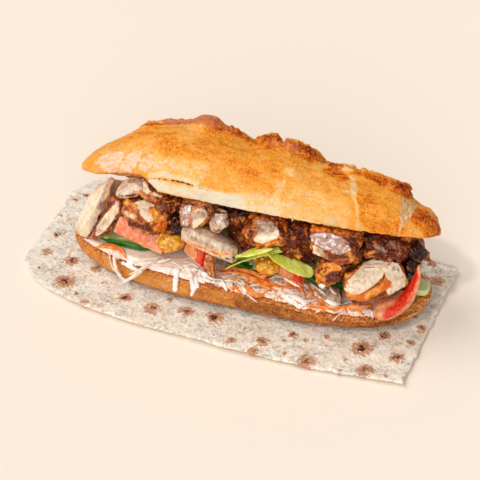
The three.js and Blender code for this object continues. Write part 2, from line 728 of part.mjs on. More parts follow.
/** The shreds that show along the bed's front and back, each a thin strip from the bed over the rim. */
function shredGeometries() {
  const { shreds, shredsFrom, shredsTo, shredWidth, shredThickness } = SLAW;
  const random = seeded(77);
  const strips = [];
  const add = (path, stations, seed) =>
    strips.push(stripGeometry({ path, width: shredWidth, thickness: shredThickness, stations, seed }));
  for (const side of [-1, 1]) {
    const count = shreds[side < 0 ? 0 : 1];
    for (let i = 0; i < count; i++) {
      const x = lerp(shredsFrom, shredsTo, (i + 0.7 * random()) / count);
      const { half, centre } = basePlan(x);
      const rim = centre + side * half * BASE.rimDraw;
      const lean = (random() - 0.5) * 30;
      const drop = random();
      const bed = CUT_FACE - cutFaceDrop(x, side);
      const start = [x, rim - side * (8 + 4 * random()), bed + 3.0];
      const crest = [x + lean * 0.45, rim - side * 3, bed + 4.2 + 1.2 * random()];
      const end = [x + lean, rim + side * (0.5 + 2.5 * drop), bed + 2.4 - 1.6 * drop];
      add([start, crest, end], 4, i);
    }
  }
  STRANDS.forEach((path, i) => add(path, 7, 50 + i));
  return strips;
}

// ---- Assembly --------------------------------------------------------------------------------------
const sandwich = new THREE.Group();
sandwich.name = "shawarma_sandwich";
const placed = []; // what stands already: { box, cutter } in the part's frame

function finish(colour) {
  return new THREE.MeshStandardMaterial({ color: colour, roughness: 0.75, metalness: 0 });
}

/** Remembers a piece so that later ones are cut clear of it. */
function remember(geometry) {
  const clearance = grown(geometry, GAP);
  clearance.computeBoundingBox();
  placed.push({ box: clearance.boundingBox, cutter: solidOf(clearance).add(solidOf(geometry)) });
}

/** A solid with everything that stands already, and its clearance, taken away. */
function fitted(geometry) {
  geometry.computeBoundingBox();
  let solid = solidOf(geometry);
  for (const { box, cutter } of placed) {
    if (box.intersectsBox(geometry.boundingBox)) solid = solid.subtract(cutter);
  }
  return largest(solid);
}

/** Adds a mesh whose geometry is in the part's frame, placed by its own middle. */
function addMesh(name, geometry, colour) {
  geometry.computeBoundingBox();
  const middle = geometry.boundingBox.getCenter(new THREE.Vector3()).round();
  geometry.translate(-middle.x, -middle.y, -middle.z);
  const mesh = new THREE.Mesh(geometry, finish(colour));
  mesh.name = name;
  mesh.position.copy(middle);
  sandwich.add(mesh);
}

const flatbread = new THREE.Mesh(flatbreadGeometry(), finish(0xd9c8b0));
flatbread.name = "flatbread";
sandwich.add(flatbread);
remember(flatbread.geometry);

const base = new THREE.Mesh(baseGeometry(), finish(0xcf8c45));
base.name = "roll_base";
sandwich.add(base);
remember(base.geometry);

const lid = new THREE.Mesh(welded(lidGeometry()), finish(0xd0853a));
lid.name = "roll_lid";
lid.position.set(...LID.middle);
lid.rotation.x = -LID.tilt;
sandwich.add(lid);
lid.updateMatrixWorld(true);
remember(lid.geometry.clone().applyMatrix4(lid.matrixWorld));

for (const { name, colour, place, geometry } of [...FRONT, ...BACK]) {
  const cut = geometryOf(fitted(geometry.clone().applyMatrix4(place)));
  remember(cut);
  addMesh(name, cut, colour);
}

let slaw = solidOf(slawCoreGeometry());
for (const shred of shredGeometries()) slaw = slaw.add(solidOf(shred));
addMesh("slaw_bed", geometryOf(fitted(geometryOf(slaw))), 0xe9dcc8);

export default sandwich;
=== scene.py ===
"""The looks of a shawarma sandwich: a baked roll filled with sliced chicken, salad and slaw.

Lengths are in millimetres, apart from what Blender is handed, which is in metres.
Marks that follow the photograph are paths in its pixels, laid on the piece by a ray
from the camera, so they sit on the surface that shows there. Each piece starts as a copy
of its solid, which gives it its form and place, and gets its relief and its masks from
there; a finish then reads the masks by name.
"""

import json
import logging
import math
import random
from collections.abc import Iterable, Sequence
from dataclasses import dataclass
from enum import Enum

import bmesh
import bpy
import numpy as np
from mathutils import Matrix, Vector
from mathutils.bvhtree import BVHTree

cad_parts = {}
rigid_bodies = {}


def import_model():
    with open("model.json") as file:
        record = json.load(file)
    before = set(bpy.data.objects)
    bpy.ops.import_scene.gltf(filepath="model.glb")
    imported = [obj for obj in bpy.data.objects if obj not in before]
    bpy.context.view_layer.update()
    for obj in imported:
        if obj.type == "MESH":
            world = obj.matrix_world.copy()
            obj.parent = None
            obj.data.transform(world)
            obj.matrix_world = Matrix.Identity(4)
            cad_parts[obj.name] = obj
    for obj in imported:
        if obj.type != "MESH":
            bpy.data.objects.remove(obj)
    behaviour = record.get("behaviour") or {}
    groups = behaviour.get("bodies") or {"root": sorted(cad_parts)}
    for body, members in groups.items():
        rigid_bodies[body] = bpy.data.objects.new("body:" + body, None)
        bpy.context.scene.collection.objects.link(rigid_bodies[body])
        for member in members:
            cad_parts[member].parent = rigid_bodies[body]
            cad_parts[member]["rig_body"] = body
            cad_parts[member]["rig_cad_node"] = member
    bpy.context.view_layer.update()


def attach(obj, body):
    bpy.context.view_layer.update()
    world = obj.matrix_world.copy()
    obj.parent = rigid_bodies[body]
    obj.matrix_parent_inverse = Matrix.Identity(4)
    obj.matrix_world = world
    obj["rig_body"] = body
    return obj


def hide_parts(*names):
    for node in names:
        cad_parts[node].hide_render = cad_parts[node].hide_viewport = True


MM = 0.001
PHOTO_SIDE = 480
OVER_THE_FOOD = 150.0
LOG = logging.getLogger("shawarma_sandwich")

Pixel = tuple[float, float]
Colour = tuple[float, float, float]
Stretch = tuple[float, float, float]
Relief = tuple[tuple[float, float], ...]
"""Pairs of a pattern's size and its whole height in mm, coarsest first."""


class Slot(Enum):
    """The record's material slots."""

    FLATBREAD = "flatbread"
    CRUST = "crust"
    PALE = "chicken_pale"
    ROASTED = "chicken_roasted"
    CHARRED = "chicken_charred"
    TOMATO = "tomato"
    PULP = "tomato_pulp"
    CUCUMBER = "cucumber"
    LETTUCE = "lettuce"
    ONION = "onion"
    SLAW = "slaw"


class Heading(Enum):
    """A way that a surface can face, as a direction in the part's frame."""

    UP = (0.0, 0.0, 1.0)
    DOWN = (0.0, 0.0, -1.0)
    BACK = (0.0, 1.0, 0.0)
    FRONT_RIGHT = (0.6, -0.6, 0.2)


def tint(red: float, green: float, blue: float) -> tuple[float, float, float, float]:
    """Turns a display colour into the linear one that a shader takes.

    Args:
        red: Red, 0 to 255.
        green: Green, 0 to 255.
        blue: Blue, 0 to 255.

    Returns:
        Linear red, green, blue and an alpha of 1.
    """
    shares = (channel / 255 for channel in (red, green, blue))
    linear = [s / 12.92 if s <= 0.04045 else ((s + 0.055) / 1.055) ** 2.4 for s in shares]
    return (linear[0], linear[1], linear[2], 1.0)


def eased(values: np.ndarray) -> np.ndarray:
    """Clips to 0 to 1 and eases both ends."""
    held = np.clip(values, 0.0, 1.0)
    return held * held * (3 - 2 * held)


@dataclass(frozen=True)
class Eye:
    """The camera, at the photograph's angle."""

    azimuth: float = 18.4
    elevation: float = 38.0
    place: tuple[float, float, float] = (222.4, -660.0, 573.3)
    lens: float = 105.47
    sensor: float = 36.0

    def axes(self) -> tuple[Vector, Vector, Vector]:
        """Returns the camera's right, up and backward directions."""
        turn = math.radians(self.azimuth)
        tilt = math.radians(self.elevation)
        flat = math.cos(tilt)
        back = Vector((math.sin(turn) * flat, -math.cos(turn) * flat, math.sin(tilt)))
        right = Vector((math.cos(turn), math.sin(turn), 0.0))
        return right, back.cross(right), back

    def ray(self, pixel: Pixel) -> tuple[Vector, Vector]:
        """Finds the line of sight through a pixel.

        Args:
            pixel: Across and down, in the photograph's pixels.

        Returns:
            Where it starts, in metres, and its unit direction.
        """
        right, up, back = self.axes()
        reach = self.sensor / self.lens / PHOTO_SIDE
        across = (pixel[0] - PHOTO_SIDE / 2) * reach
        down = (pixel[1] - PHOTO_SIDE / 2) * reach
        return Vector(self.place) * MM, (right * across - up * down - back).normalized()

    def build(self) -> None:
        """Makes the camera and gives it to the scene."""
        right, up, back = self.axes()
        bpy.ops.object.camera_add(location=Vector(self.place) * MM)
        camera = bpy.context.object
        camera.name = "camera"
        camera.rotation_euler = Matrix((right, up, back)).transposed().to_euler()
        camera.data.sensor_width = self.sensor
        camera.data.lens = self.lens
        camera.data.clip_start = 0.05
        camera.data.clip_end = 10.0
        bpy.context.scene.camera = camera


EYE = Eye()


def along(path: Sequence[Pixel], step: float) -> list[Pixel]:
    """Returns points on a path, at most `step` pixels apart."""
    points = [path[0]]
    for start, end in zip(path, path[1:]):
        count = max(1, math.ceil(math.dist(start, end) / step))
        points += [
            (start[0] + (end[0] - start[0]) * k / count, start[1] + (end[1] - start[1]) * k / count)
            for k in range(1, count + 1)
        ]
    return points


def surrounds(outline: Sequence[Pixel], point: Pixel) -> bool:
    """Tells whether an outline is round a point."""
    held = False
    across, down = point
    for (x0, y0), (x1, y1) in zip(outline, [*outline[1:], outline[0]]):
        if (y0 > down) != (y1 > down) and across < x0 + (x1 - x0) * (down - y0) / (y1 - y0):
            held = not held
    return held


def within(outline: Sequence[Pixel], step: float) -> list[Pixel]:
    """Returns points inside an outline, `step` pixels apart."""
    columns = np.arange(min(x for x, _ in outline), max(x for x, _ in outline), step)
    rows = np.arange(min(y for _, y in outline), max(y for _, y in outline), step)
    return [(x, y) for y in rows for x in columns if surrounds(outline, (x, y))]


@dataclass(frozen=True)
class Mark:
    """A stroke or a filled shape on a piece's surface, followed in the photograph's pixels.

    Its strength is full within `reach` mm of the path, or of what the path goes round, and
    fades to nothing over `fade` mm.
    """

    path: tuple[Pixel, ...]
    reach: float
    fade: float = 2.0
    strength: float = 1.0
    filled: bool = False

    def pixels(self) -> list[Pixel]:
        """Returns points close enough together to follow the surface."""
        edge = along(self.path, 1.5)
        return edge + within(self.path, 2.0) if self.filled else edge


class Solid:
    """A piece of food while it is being shaped and painted."""

    def __init__(self, piece: bpy.types.Object) -> None:
        """Takes hold of a mesh object that sits at the origin."""
        self.piece = piece
        self.tree: BVHTree | None = None

    @staticmethod
    def only(piece: bpy.types.Object) -> None:
        """Selects one object and nothing else."""
        bpy.ops.object.select_all(action="DESELECT")
        piece.select_set(True)
        bpy.context.view_layer.objects.active = piece

    @classmethod
    def copy_of(cls, node: str, name: str) -> "Solid":
        """Copies a CAD node and merges its loose triangles.

        Args:
            node: The CAD node's name.
            name: The copy's name.

        Returns:
            The copy, free of the frame.
        """
        cls.only(bpy.data.objects[node])
        bpy.ops.object.duplicate()
        piece = bpy.context.object
        piece.name = name
        piece.parent = None
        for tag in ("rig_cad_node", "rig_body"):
            if tag in piece:
                del piece[tag]
        bpy.ops.object.mode_set(mode="EDIT")
        bpy.ops.mesh.select_all(action="SELECT")
        bpy.ops.mesh.remove_doubles(threshold=0.01 * MM)
        bpy.ops.object.mode_set(mode="OBJECT")
        piece.data.materials.clear()
        return cls(piece)

    def modify(self, kind: str, **settings: object) -> None:
        """Adds a modifier with the given settings and applies it."""
        self.tree = None
        self.only(self.piece)
        modifier = self.piece.modifiers.new(kind.title(), kind)
        for name, value in settings.items():
            setattr(modifier, name, value)
        bpy.ops.object.modifier_apply(modifier=modifier.name)

    def remesh(self, grain: float) -> None:
        """Rebuilds the skin as even squares `grain` mm wide."""
        self.modify("REMESH", mode="VOXEL", voxel_size=grain * MM, use_smooth_shade=True)

    def soften(self, turns: int) -> None:
        """Rounds the facets off."""
        self.modify("SMOOTH", iterations=turns, factor=0.5)

    def roughen(self, relief: Relief, where: str = "") -> None:
        """Raises and sinks the skin by uneven patterns.

        Args:
            relief: The patterns, one laid on the other.
            where: Vertex group that they are held to, or none.
        """
        for grain, height in relief:
            pattern = bpy.data.textures.new("relief", "CLOUDS")
            pattern.noise_scale = grain * MM
            pattern.noise_depth = 2
            self.modify(
                "DISPLACE", texture=pattern, texture_coords="LOCAL", strength=height * MM,
                mid_level=0.5, vertex_group=where,
            )
            bpy.data.textures.remove(pattern)

    def places(self) -> np.ndarray:
        """Returns the vertices' places in mm."""
        flat = np.empty(len(self.piece.data.vertices) * 3, np.float32)
        self.piece.data.vertices.foreach_get("co", flat)
        return flat.reshape(-1, 3).astype(float) / MM

    def normals(self) -> np.ndarray:
        """Returns the vertices' unit normals."""
        flat = np.empty(len(self.piece.data.vertices) * 3, np.float32)
        self.piece.data.vertex_normals.foreach_get("vector", flat)
        return flat.reshape(-1, 3).astype(float)

    def skin(self) -> BVHTree:
        """Returns the search tree of the piece's faces."""
        if self.tree is None:
            self.tree = BVHTree.FromObject(self.piece, bpy.context.evaluated_depsgraph_get())
        return self.tree

    def reach_of(self, marks: Iterable[Mark]) -> np.ndarray:
        """Lays marks on the piece.

        Args:
            marks: The strokes to lay.

        Returns:
            For each vertex the strongest mark's strength there.
        """
        tree = self.skin()
        places = self.places()
        strength = np.zeros(len(places))
        for mark in marks:
            hits = [tree.ray_cast(*EYE.ray(pixel))[0] for pixel in mark.pixels()]
            spots = np.array([tuple(hit) for hit in hits if hit is not None]) / MM
            if not len(spots):
                LOG.warning("%s: a mark at %s misses it", self.piece.name, mark.path[0])
                continue
            near = np.full(len(places), np.inf)
            for spot in spots:
                near = np.minimum(near, ((places - spot) ** 2).sum(1))
            share = eased(1 - (np.sqrt(near) - mark.reach) / mark.fade)
            strength = np.maximum(strength, share * mark.strength)
        return strength

    def facing(self, heading: Heading, start: float, full: float) -> np.ndarray:
        """Finds how far the skin faces a way.

        Args:
            heading: The way.
            start: Cosine where the share leaves 0.
            full: Cosine where it reaches 1.

        Returns:
            For each vertex a share from 0 to 1.
        """
        way = np.array(heading.value)
        return eased((self.normals() @ (way / np.linalg.norm(way)) - start) / (full - start))

    def note(self, name: str, values: np.ndarray) -> None:
        """Keeps a value for each vertex, for the finish to read."""
        kept = self.piece.data.attributes.new(name, "FLOAT", "POINT")
        kept.data.foreach_set("value", values.astype(np.float32))

    def weigh(self, name: str, values: np.ndarray, levels: int = 16) -> None:
        """Keeps a value for each vertex as a vertex group, in even steps."""
        group = self.piece.vertex_groups.new(name=name)
        steps = np.rint(np.clip(values, 0, 1) * levels).astype(int)
        for step in range(1, levels + 1):
            members = np.nonzero(steps == step)[0].tolist()
            if members:
                group.add(members, step / levels, "REPLACE")

    def carve(self, values: np.ndarray, height: float) -> None:
        """Raises the skin by up to `height` mm where values near 1 say."""
        self.weigh("relief", values)
        self.modify("DISPLACE", strength=height * MM, mid_level=0.0, vertex_group="relief")
        self.piece.vertex_groups.remove(self.piece.vertex_groups["relief"])

    def flatten(self, values: np.ndarray, share: float = 0.85) -> None:
        """Draws the skin towards a plane, as a knife leaves it, where values near 1 say.

        Args:
            values: For each vertex a share from 0 to 1; the plane is laid through those over 0.6.
            share: How far the skin goes to the plane at most.
        """
        places = self.places()
        cut = values > 0.6
        middle = places[cut].mean(0)
        _, _, ways = np.linalg.svd(places[cut] - middle, full_matrices=False)
        facing = self.normals() @ ways[2]
        held = values * share * eased(2 * facing * np.sign(facing[cut].mean()))
        self.move(places - np.outer((places - middle) @ ways[2] * held, ways[2]))

    def pare(self, seed: str, count: int, depth: float) -> None:
        """Cuts flat faces along the piece, as a knife leaves them.

        Args:
            seed: What the faces' ways are drawn from.
            count: How many faces to cut.
            depth: How deep each one is, as a share of the piece's reach that way.
        """
        rng = random.Random(seed)
        places = self.places()
        _, _, ways = np.linalg.svd(places - places.mean(0), full_matrices=False)
        for _ in range(count):
            way = np.array([rng.gauss(0, 1) for _ in range(3)])
            way -= 0.75 * (way @ ways[0]) * ways[0]
            way /= np.linalg.norm(way)
            high = places @ way
            over = np.maximum(high - high.max() + depth * (high.max() - high.mean()), 0.0)
            places -= np.outer(over, way)
        self.move(places)

    def stands_out(self) -> np.ndarray:
        """Returns for each vertex how many mm it stands out of the skin round it."""
        places = self.places()
        normals = self.normals()
        self.soften(8)
        out = ((places - self.places()) * normals).sum(1)
        self.move(places)
        return out

    def move(self, places: np.ndarray) -> None:
        """Puts the vertices at new places in mm."""
        self.piece.data.vertices.foreach_set("co", (places * MM).astype(np.float32).ravel())
        self.piece.data.update()
        self.tree = None

    def dress(self, finish: bpy.types.Material, slot: Slot, *nodes: str) -> None:
        """Finishes the piece and puts it in place of CAD nodes.

        Args:
            finish: Its material.
            slot: The record's slot that the finish is for; not used.
            *nodes: The CAD nodes that it stands for.
        """
        self.piece.vertex_groups.clear()
        self.piece.data.materials.clear()
        self.piece.data.materials.append(finish)
        self.piece.data.shade_smooth()
        if nodes:
            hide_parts(*nodes)
        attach(self.piece, "root")
        LOG.info("%s: %d faces", self.piece.name, len(self.piece.data.polygons))


@dataclass(frozen=True)
class Spot:
    """A place on a piece's surface, in mm, with its normal and the piece's name."""

    place: Vector
    normal: Vector
    owner: str


class Ground:
    """The food that is built so far, for later pieces to be laid on."""

    def __init__(self) -> None:
        """Starts with nothing."""
        self.solids: list[Solid] = []

    def add(self, *solids: Solid) -> None:
        """Takes finished pieces in."""
        self.solids += solids

    def first(self, start: Vector, way: Vector) -> Spot | None:
        """Finds the nearest surface along a ray.

        Args:
            start: Where the ray starts, in metres.
            way: Its unit direction.

        Returns:
            The spot that it meets, or nothing.
        """
        nearest = math.inf
        spot = None
        for solid in self.solids:
            place, normal, _, far = solid.skin().ray_cast(start, way)
            if place is not None and far < nearest:
                nearest = far
                spot = Spot(place / MM, normal, solid.piece.name)
        return spot

    def seen(self, pixel: Pixel) -> Spot | None:
        """Finds the surface that the camera sees at a pixel."""
        return self.first(*EYE.ray(pixel))

    def below(self, across: float, deep: float) -> Spot | None:
        """Finds the highest surface at a place, given in mm."""
        return self.first(Vector((across, deep, OVER_THE_FOOD)) * MM, Vector(Heading.DOWN.value))


@dataclass(frozen=True)
class Strand:
    """A shred that shows in the photograph.

    It follows `path` in pixels, `width` mm wide, and lies `rise` mm above what is under it.
    """

    path: tuple[Pixel, ...]
    width: float = 1.5
    rise: float = 0.4


class Bundle:
    """Shreds of one kind, which end up as one mesh.

    A shred that would cross a gap wider than `leap` mm is parted there.
    """

    leap: float = 9.0

    def __init__(self, name: str, seed: int) -> None:
        """Starts without any shred.

        Args:
            name: The piece's name.
            seed: What its draws start from.
        """
        self.curve = bpy.data.curves.new(name, "CURVE")
        self.curve.dimensions = "3D"
        self.curve.fill_mode = "FULL"
        self.curve.extrude = 0.5 * MM
        self.curve.bevel_depth = 0.3 * MM
        self.curve.bevel_resolution = 1
        self.curve.use_fill_caps = True
        self.rng = random.Random(seed)

    def lay(self, points: Sequence[Vector], width: float) -> None:
        """Adds one shred through points in mm.

        Args:
            points: The shred's middle line.
            width: Its width in mm where it is widest.
        """
        if len(points) < 3:
            return
        spline = self.curve.splines.new("POLY")
        spline.points.add(len(points) - 1)
        turn = self.rng.uniform(-0.9, 0.9)
        twist = self.rng.uniform(-0.12, 0.12)
        for k, (knot, point) in enumerate(zip(spline.points, points)):
            share = k / (len(points) - 1)
            taper = 0.45 + 0.55 * min(1.0, 5 * share, 5 * (1 - share))
            knot.co = (*(point * MM), 1.0)
            knot.radius = width / 1.6 * taper * self.rng.uniform(0.88, 1.12)
            knot.tilt = turn + twist * k

    def trace(
        self, spots: Iterable[Spot | None], width: float, rise: float, owners: tuple[str, ...] = ()
    ) -> None:
        """Lays a shred over spots.

        Args:
            spots: Where it passes.
            width: Its width in mm where it is widest.
            rise: How high it lies in mm.
            owners: The pieces that it may lie on, if not all; it ends at another.
        """
        above = rise + 0.3 * width
        runs: list[list[Vector]] = [[]]
        for spot in filter(None, spots):
            if owners and spot.owner not in owners:
                break
            point = spot.place + spot.normal * above
            if runs[-1] and (point - runs[-1][-1]).length > self.leap:
                runs.append([])
            runs[-1].append(point)
        for points in runs:
            self.lay(eased_line(points), width)

    def make(self) -> Solid:
        """Turns the shreds into one mesh."""
        piece = bpy.data.objects.new(self.curve.name, self.curve)
        bpy.context.collection.objects.link(piece)
        Solid.only(piece)
        bpy.ops.object.convert(target="MESH")
        return Solid(bpy.context.object)


class Clump:
    """Small rounded bits, which end up as one mesh."""

    def __init__(self, name: str, seed: int, crag: float = 0.0) -> None:
        """Starts without any bit.

        Args:
            name: The piece's name.
            seed: What its draws start from.
            crag: How far the bits' corners stray, as a share of their size.
        """
        self.name = name
        self.crag = crag
        self.rng = random.Random(seed)
        self.bits = bmesh.new()

    def drop(self, spot: Spot | None, size: tuple[float, float, float], rise: float) -> None:
        """Adds a bit, turned at random on the surface.

        Args:
            spot: Where it lies; nothing is added without one.
            size: Its half sizes in mm, the last one away from the surface.
            rise: How high its middle lies over the surface in mm.
        """
        if spot is None:
            return
        tilt = spot.normal.to_track_quat("Z", "Y").to_matrix().to_4x4()
        turn = Matrix.Rotation(self.rng.uniform(0, math.tau), 4, "Z")
        scale = Matrix.Diagonal((*(Vector(size) * MM), 1.0))
        place = Matrix.Translation((spot.place + spot.normal * rise) * MM)
        made = bmesh.ops.create_icosphere(self.bits, subdivisions=1, radius=1.0)
        for corner in made["verts"]:
            if self.crag:
                corner.co *= 1 + self.rng.uniform(-self.crag, self.crag)
            corner.co = place @ tilt @ turn @ scale @ corner.co

    def make(self) -> Solid:
        """Turns the bits into one mesh."""
        mesh = bpy.data.meshes.new(self.name)
        self.bits.to_mesh(mesh)
        self.bits.free()
        piece = bpy.data.objects.new(self.name, mesh)
        bpy.context.collection.objects.link(piece)
        return Solid(piece)


def eased_line(points: Sequence[Vector], turns: int = 3) -> list[Vector]:
    """Takes the corners out of a line, keeping its ends."""
    line = list(points)
    for _ in range(turns):
        line = [
            line[k] if k in (0, len(line) - 1) else (line[k - 1] + 2 * line[k] + line[k + 1]) / 4
            for k in range(len(line))
        ]
    return line


class Sketch:
    """A procedural finish while its nodes are being joined."""

    def __init__(self, name: str) -> None:
        """Starts a material with one shader and the piece's own coordinates."""
        self.material = bpy.data.materials.new(name)
        self.material.use_nodes = True
        self.tree = self.material.node_tree
        self.shader = self.tree.nodes["Principled BSDF"]
        self.place = self.node("ShaderNodeTexCoord").outputs["Object"]

    def node(self, kind: str, **settings: object) -> bpy.types.Node:
        """Adds a node with the given settings."""
        made = self.tree.nodes.new(kind)
        for name, value in settings.items():
            setattr(made, name, value)
        return made

    def feed(self, socket: bpy.types.NodeSocket, value: object) -> None:
        """Links a socket, or sets it where the value is plain."""
        if isinstance(value, bpy.types.NodeSocket):
            self.tree.links.new(value, socket)
        else:
            socket.default_value = value

    def stretched(self, stretch: Stretch) -> bpy.types.NodeSocket:
        """Returns the coordinates, scaled apart along the axes."""
        made = self.node("ShaderNodeMapping")
        self.feed(made.inputs["Vector"], self.place)
        made.inputs["Scale"].default_value = stretch
        return made.outputs["Vector"]

    def noise(
        self, grain: float, detail: float = 3.0, rough: float = 0.55, warp: float = 0.0,
        stretch: Stretch = (1.0, 1.0, 1.0),
    ) -> bpy.types.NodeSocket:
        """Adds a noise.

        Args:
            grain: Its size in mm.
            detail: How many finer layers it has.
            rough: How strong the finer layers are.
            warp: How far it is bent out of shape.
            stretch: How much finer it is along each axis; less than 1 draws it out.

        Returns:
            A value from 0 to 1, mostly near 0.5.
        """
        made = self.node("ShaderNodeTexNoise")
        self.feed(made.inputs["Vector"], self.stretched(stretch))
        made.inputs["Scale"].default_value = 1 / (grain * MM)
        made.inputs["Detail"].default_value = detail
        made.inputs["Roughness"].default_value = rough
        made.inputs["Distortion"].default_value = warp
        return made.outputs["Fac"]

    def cell_edges(self, grain: float, bend: float) -> bpy.types.NodeSocket:
        """Adds a pattern of cells.

        Args:
            grain: Size of the cells in mm.
            bend: How far their edges wander, as a share of a cell.

        Returns:
            How far a point is from the nearest edge, 0 on it.
        """
        wander = self.node("ShaderNodeTexNoise")
        self.feed(wander.inputs["Vector"], self.place)
        wander.inputs["Scale"].default_value = 1 / (grain * MM)
        shifted = self.node("ShaderNodeVectorMath", operation="MULTIPLY_ADD")
        self.feed(shifted.inputs[0], wander.outputs["Color"])
        shifted.inputs[1].default_value = (bend * grain * MM,) * 3
        self.feed(shifted.inputs[2], self.place)
        made = self.node("ShaderNodeTexVoronoi", feature="DISTANCE_TO_EDGE")
        made.inputs["Scale"].default_value = 1 / (grain * MM)
        self.feed(made.inputs["Vector"], shifted.outputs["Vector"])
        return made.outputs["Distance"]

    def wrinkles(
        self, grain: float, width: float, stretch: Stretch = (1.0, 1.0, 1.0)
    ) -> bpy.types.NodeSocket:
        """Adds broken winding lines.

        Args:
            grain: How far apart they are, in mm.
            width: How wide they are, as a share of the noise that they follow.
            stretch: How much finer they are along each axis.

        Returns:
            1 on a line and 0 off it.
        """
        winding = self.noise(grain, 4.0, 0.6, 0.9, stretch)
        off = self.maths("ABSOLUTE", self.maths("SUBTRACT", winding, 0.5))
        kept = self.span(self.noise(1.4 * grain, 3.0), 0.42, 0.60)
        return self.maths("MULTIPLY", self.span(off, 0.0, width, 1.0, 0.0), kept)

    def mask(self, name: str) -> bpy.types.NodeSocket:
        """Reads a value that the piece keeps for each vertex."""
        return self.node("ShaderNodeAttribute", attribute_name=name).outputs["Fac"]

    def maths(self, operation: str, left: object, right: object = 0.0) -> bpy.types.NodeSocket:
        """Works a value out of one or two."""
        made = self.node("ShaderNodeMath", operation=operation)
        self.feed(made.inputs[0], left)
        self.feed(made.inputs[1], right)
        return made.outputs[0]

    def span(
        self, value: object, low: float, high: float, to_low: float = 0.0, to_high: float = 1.0
    ) -> bpy.types.NodeSocket:
        """Eases a value from one range to another.

        Args:
            value: The value.
            low: Where its own range starts.
            high: Where that range ends.
            to_low: What comes out at and under `low`.
            to_high: What comes out at and over `high`.

        Returns:
            The eased value.
        """
        made = self.node("ShaderNodeMapRange", interpolation_type="SMOOTHSTEP")
        self.feed(made.inputs["Value"], value)
        made.inputs["From Min"].default_value = low
        made.inputs["From Max"].default_value = high
        made.inputs["To Min"].default_value = to_low
        made.inputs["To Max"].default_value = to_high
        return made.outputs["Result"]

    def torn(
        self, name: str, grain: float = 3.0, ragged: float = 0.5, soft: float = 0.15
    ) -> bpy.types.NodeSocket:
        """Reads a mask and makes its edge uneven.

        Args:
            name: The mask.
            grain: Size of the unevenness in mm.
            ragged: How far the edge wanders, as a share of the mask's own fade.
            soft: How softly it ends, up to 0.5 for the mask's whole fade.

        Returns:
            A value from 0 to 1.
        """
        wander = self.span(self.noise(grain, 4.0, 0.65), 0.25, 0.75, -ragged, ragged)
        held = self.maths("MULTIPLY", wander, self.span(self.mask(name), 0.0, 0.12))
        return self.span(self.maths("ADD", self.mask(name), held), 0.5 - soft, 0.5 + soft)

    def blend(self, share: object, under: object, over: object) -> bpy.types.NodeSocket:
        """Lays one colour over another by a share from 0 to 1."""
        made = self.node("ShaderNodeMix", data_type="RGBA")
        self.feed(made.inputs["Factor"], share)
        self.feed(made.inputs[6], under)
        self.feed(made.inputs[7], over)
        return made.outputs[2]

    def ramp(
        self, value: object, stops: Sequence[tuple[float, tuple[float, float, float, float]]]
    ) -> bpy.types.NodeSocket:
        """Turns a value into a colour by (place, colour) stops."""
        made = self.node("ShaderNodeValToRGB")
        self.feed(made.inputs["Fac"], value)
        elements = made.color_ramp.elements
        while len(elements) < len(stops):
            elements.new(0.5)
        for element, (place, colour) in zip(elements, stops):
            element.position = place
            element.color = colour
        return made.outputs["Color"]

    def grain(self, height: object, depth: float, strength: float = 1.0) -> None:
        """Adds a fine relief of `depth` mm over what relief the finish has."""
        made = self.node("ShaderNodeBump")
        made.inputs["Strength"].default_value = strength
        made.inputs["Distance"].default_value = depth * MM
        self.feed(made.inputs["Height"], height)
        under = self.shader.inputs["Normal"].links
        if under:
            self.feed(made.inputs["Normal"], under[0].from_socket)
        self.feed(self.shader.inputs["Normal"], made.outputs["Normal"])

    def colour(self, value: object) -> None:
        """Gives the shader its colour."""
        self.feed(self.shader.inputs["Base Color"], value)

    def sheen(self, roughness: object, shine: float = 0.5, inner: float = 0.0) -> None:
        """Gives the shader its gloss.

        Args:
            roughness: How dull the surface is, a number or a pattern.
            shine: How much it reflects; 0.5 is like water or oil.
            inner: Weight of the light that passes through the skin.
        """
        self.feed(self.shader.inputs["Roughness"], roughness)
        self.shader.inputs["Specular IOR Level"].default_value = shine
        if inner:
            self.shader.inputs["Subsurface Weight"].default_value = inner
            self.shader.inputs["Subsurface Radius"].default_value = (1.0, 0.6, 0.4)
            self.shader.inputs["Subsurface Scale"].default_value = 2.0 * MM


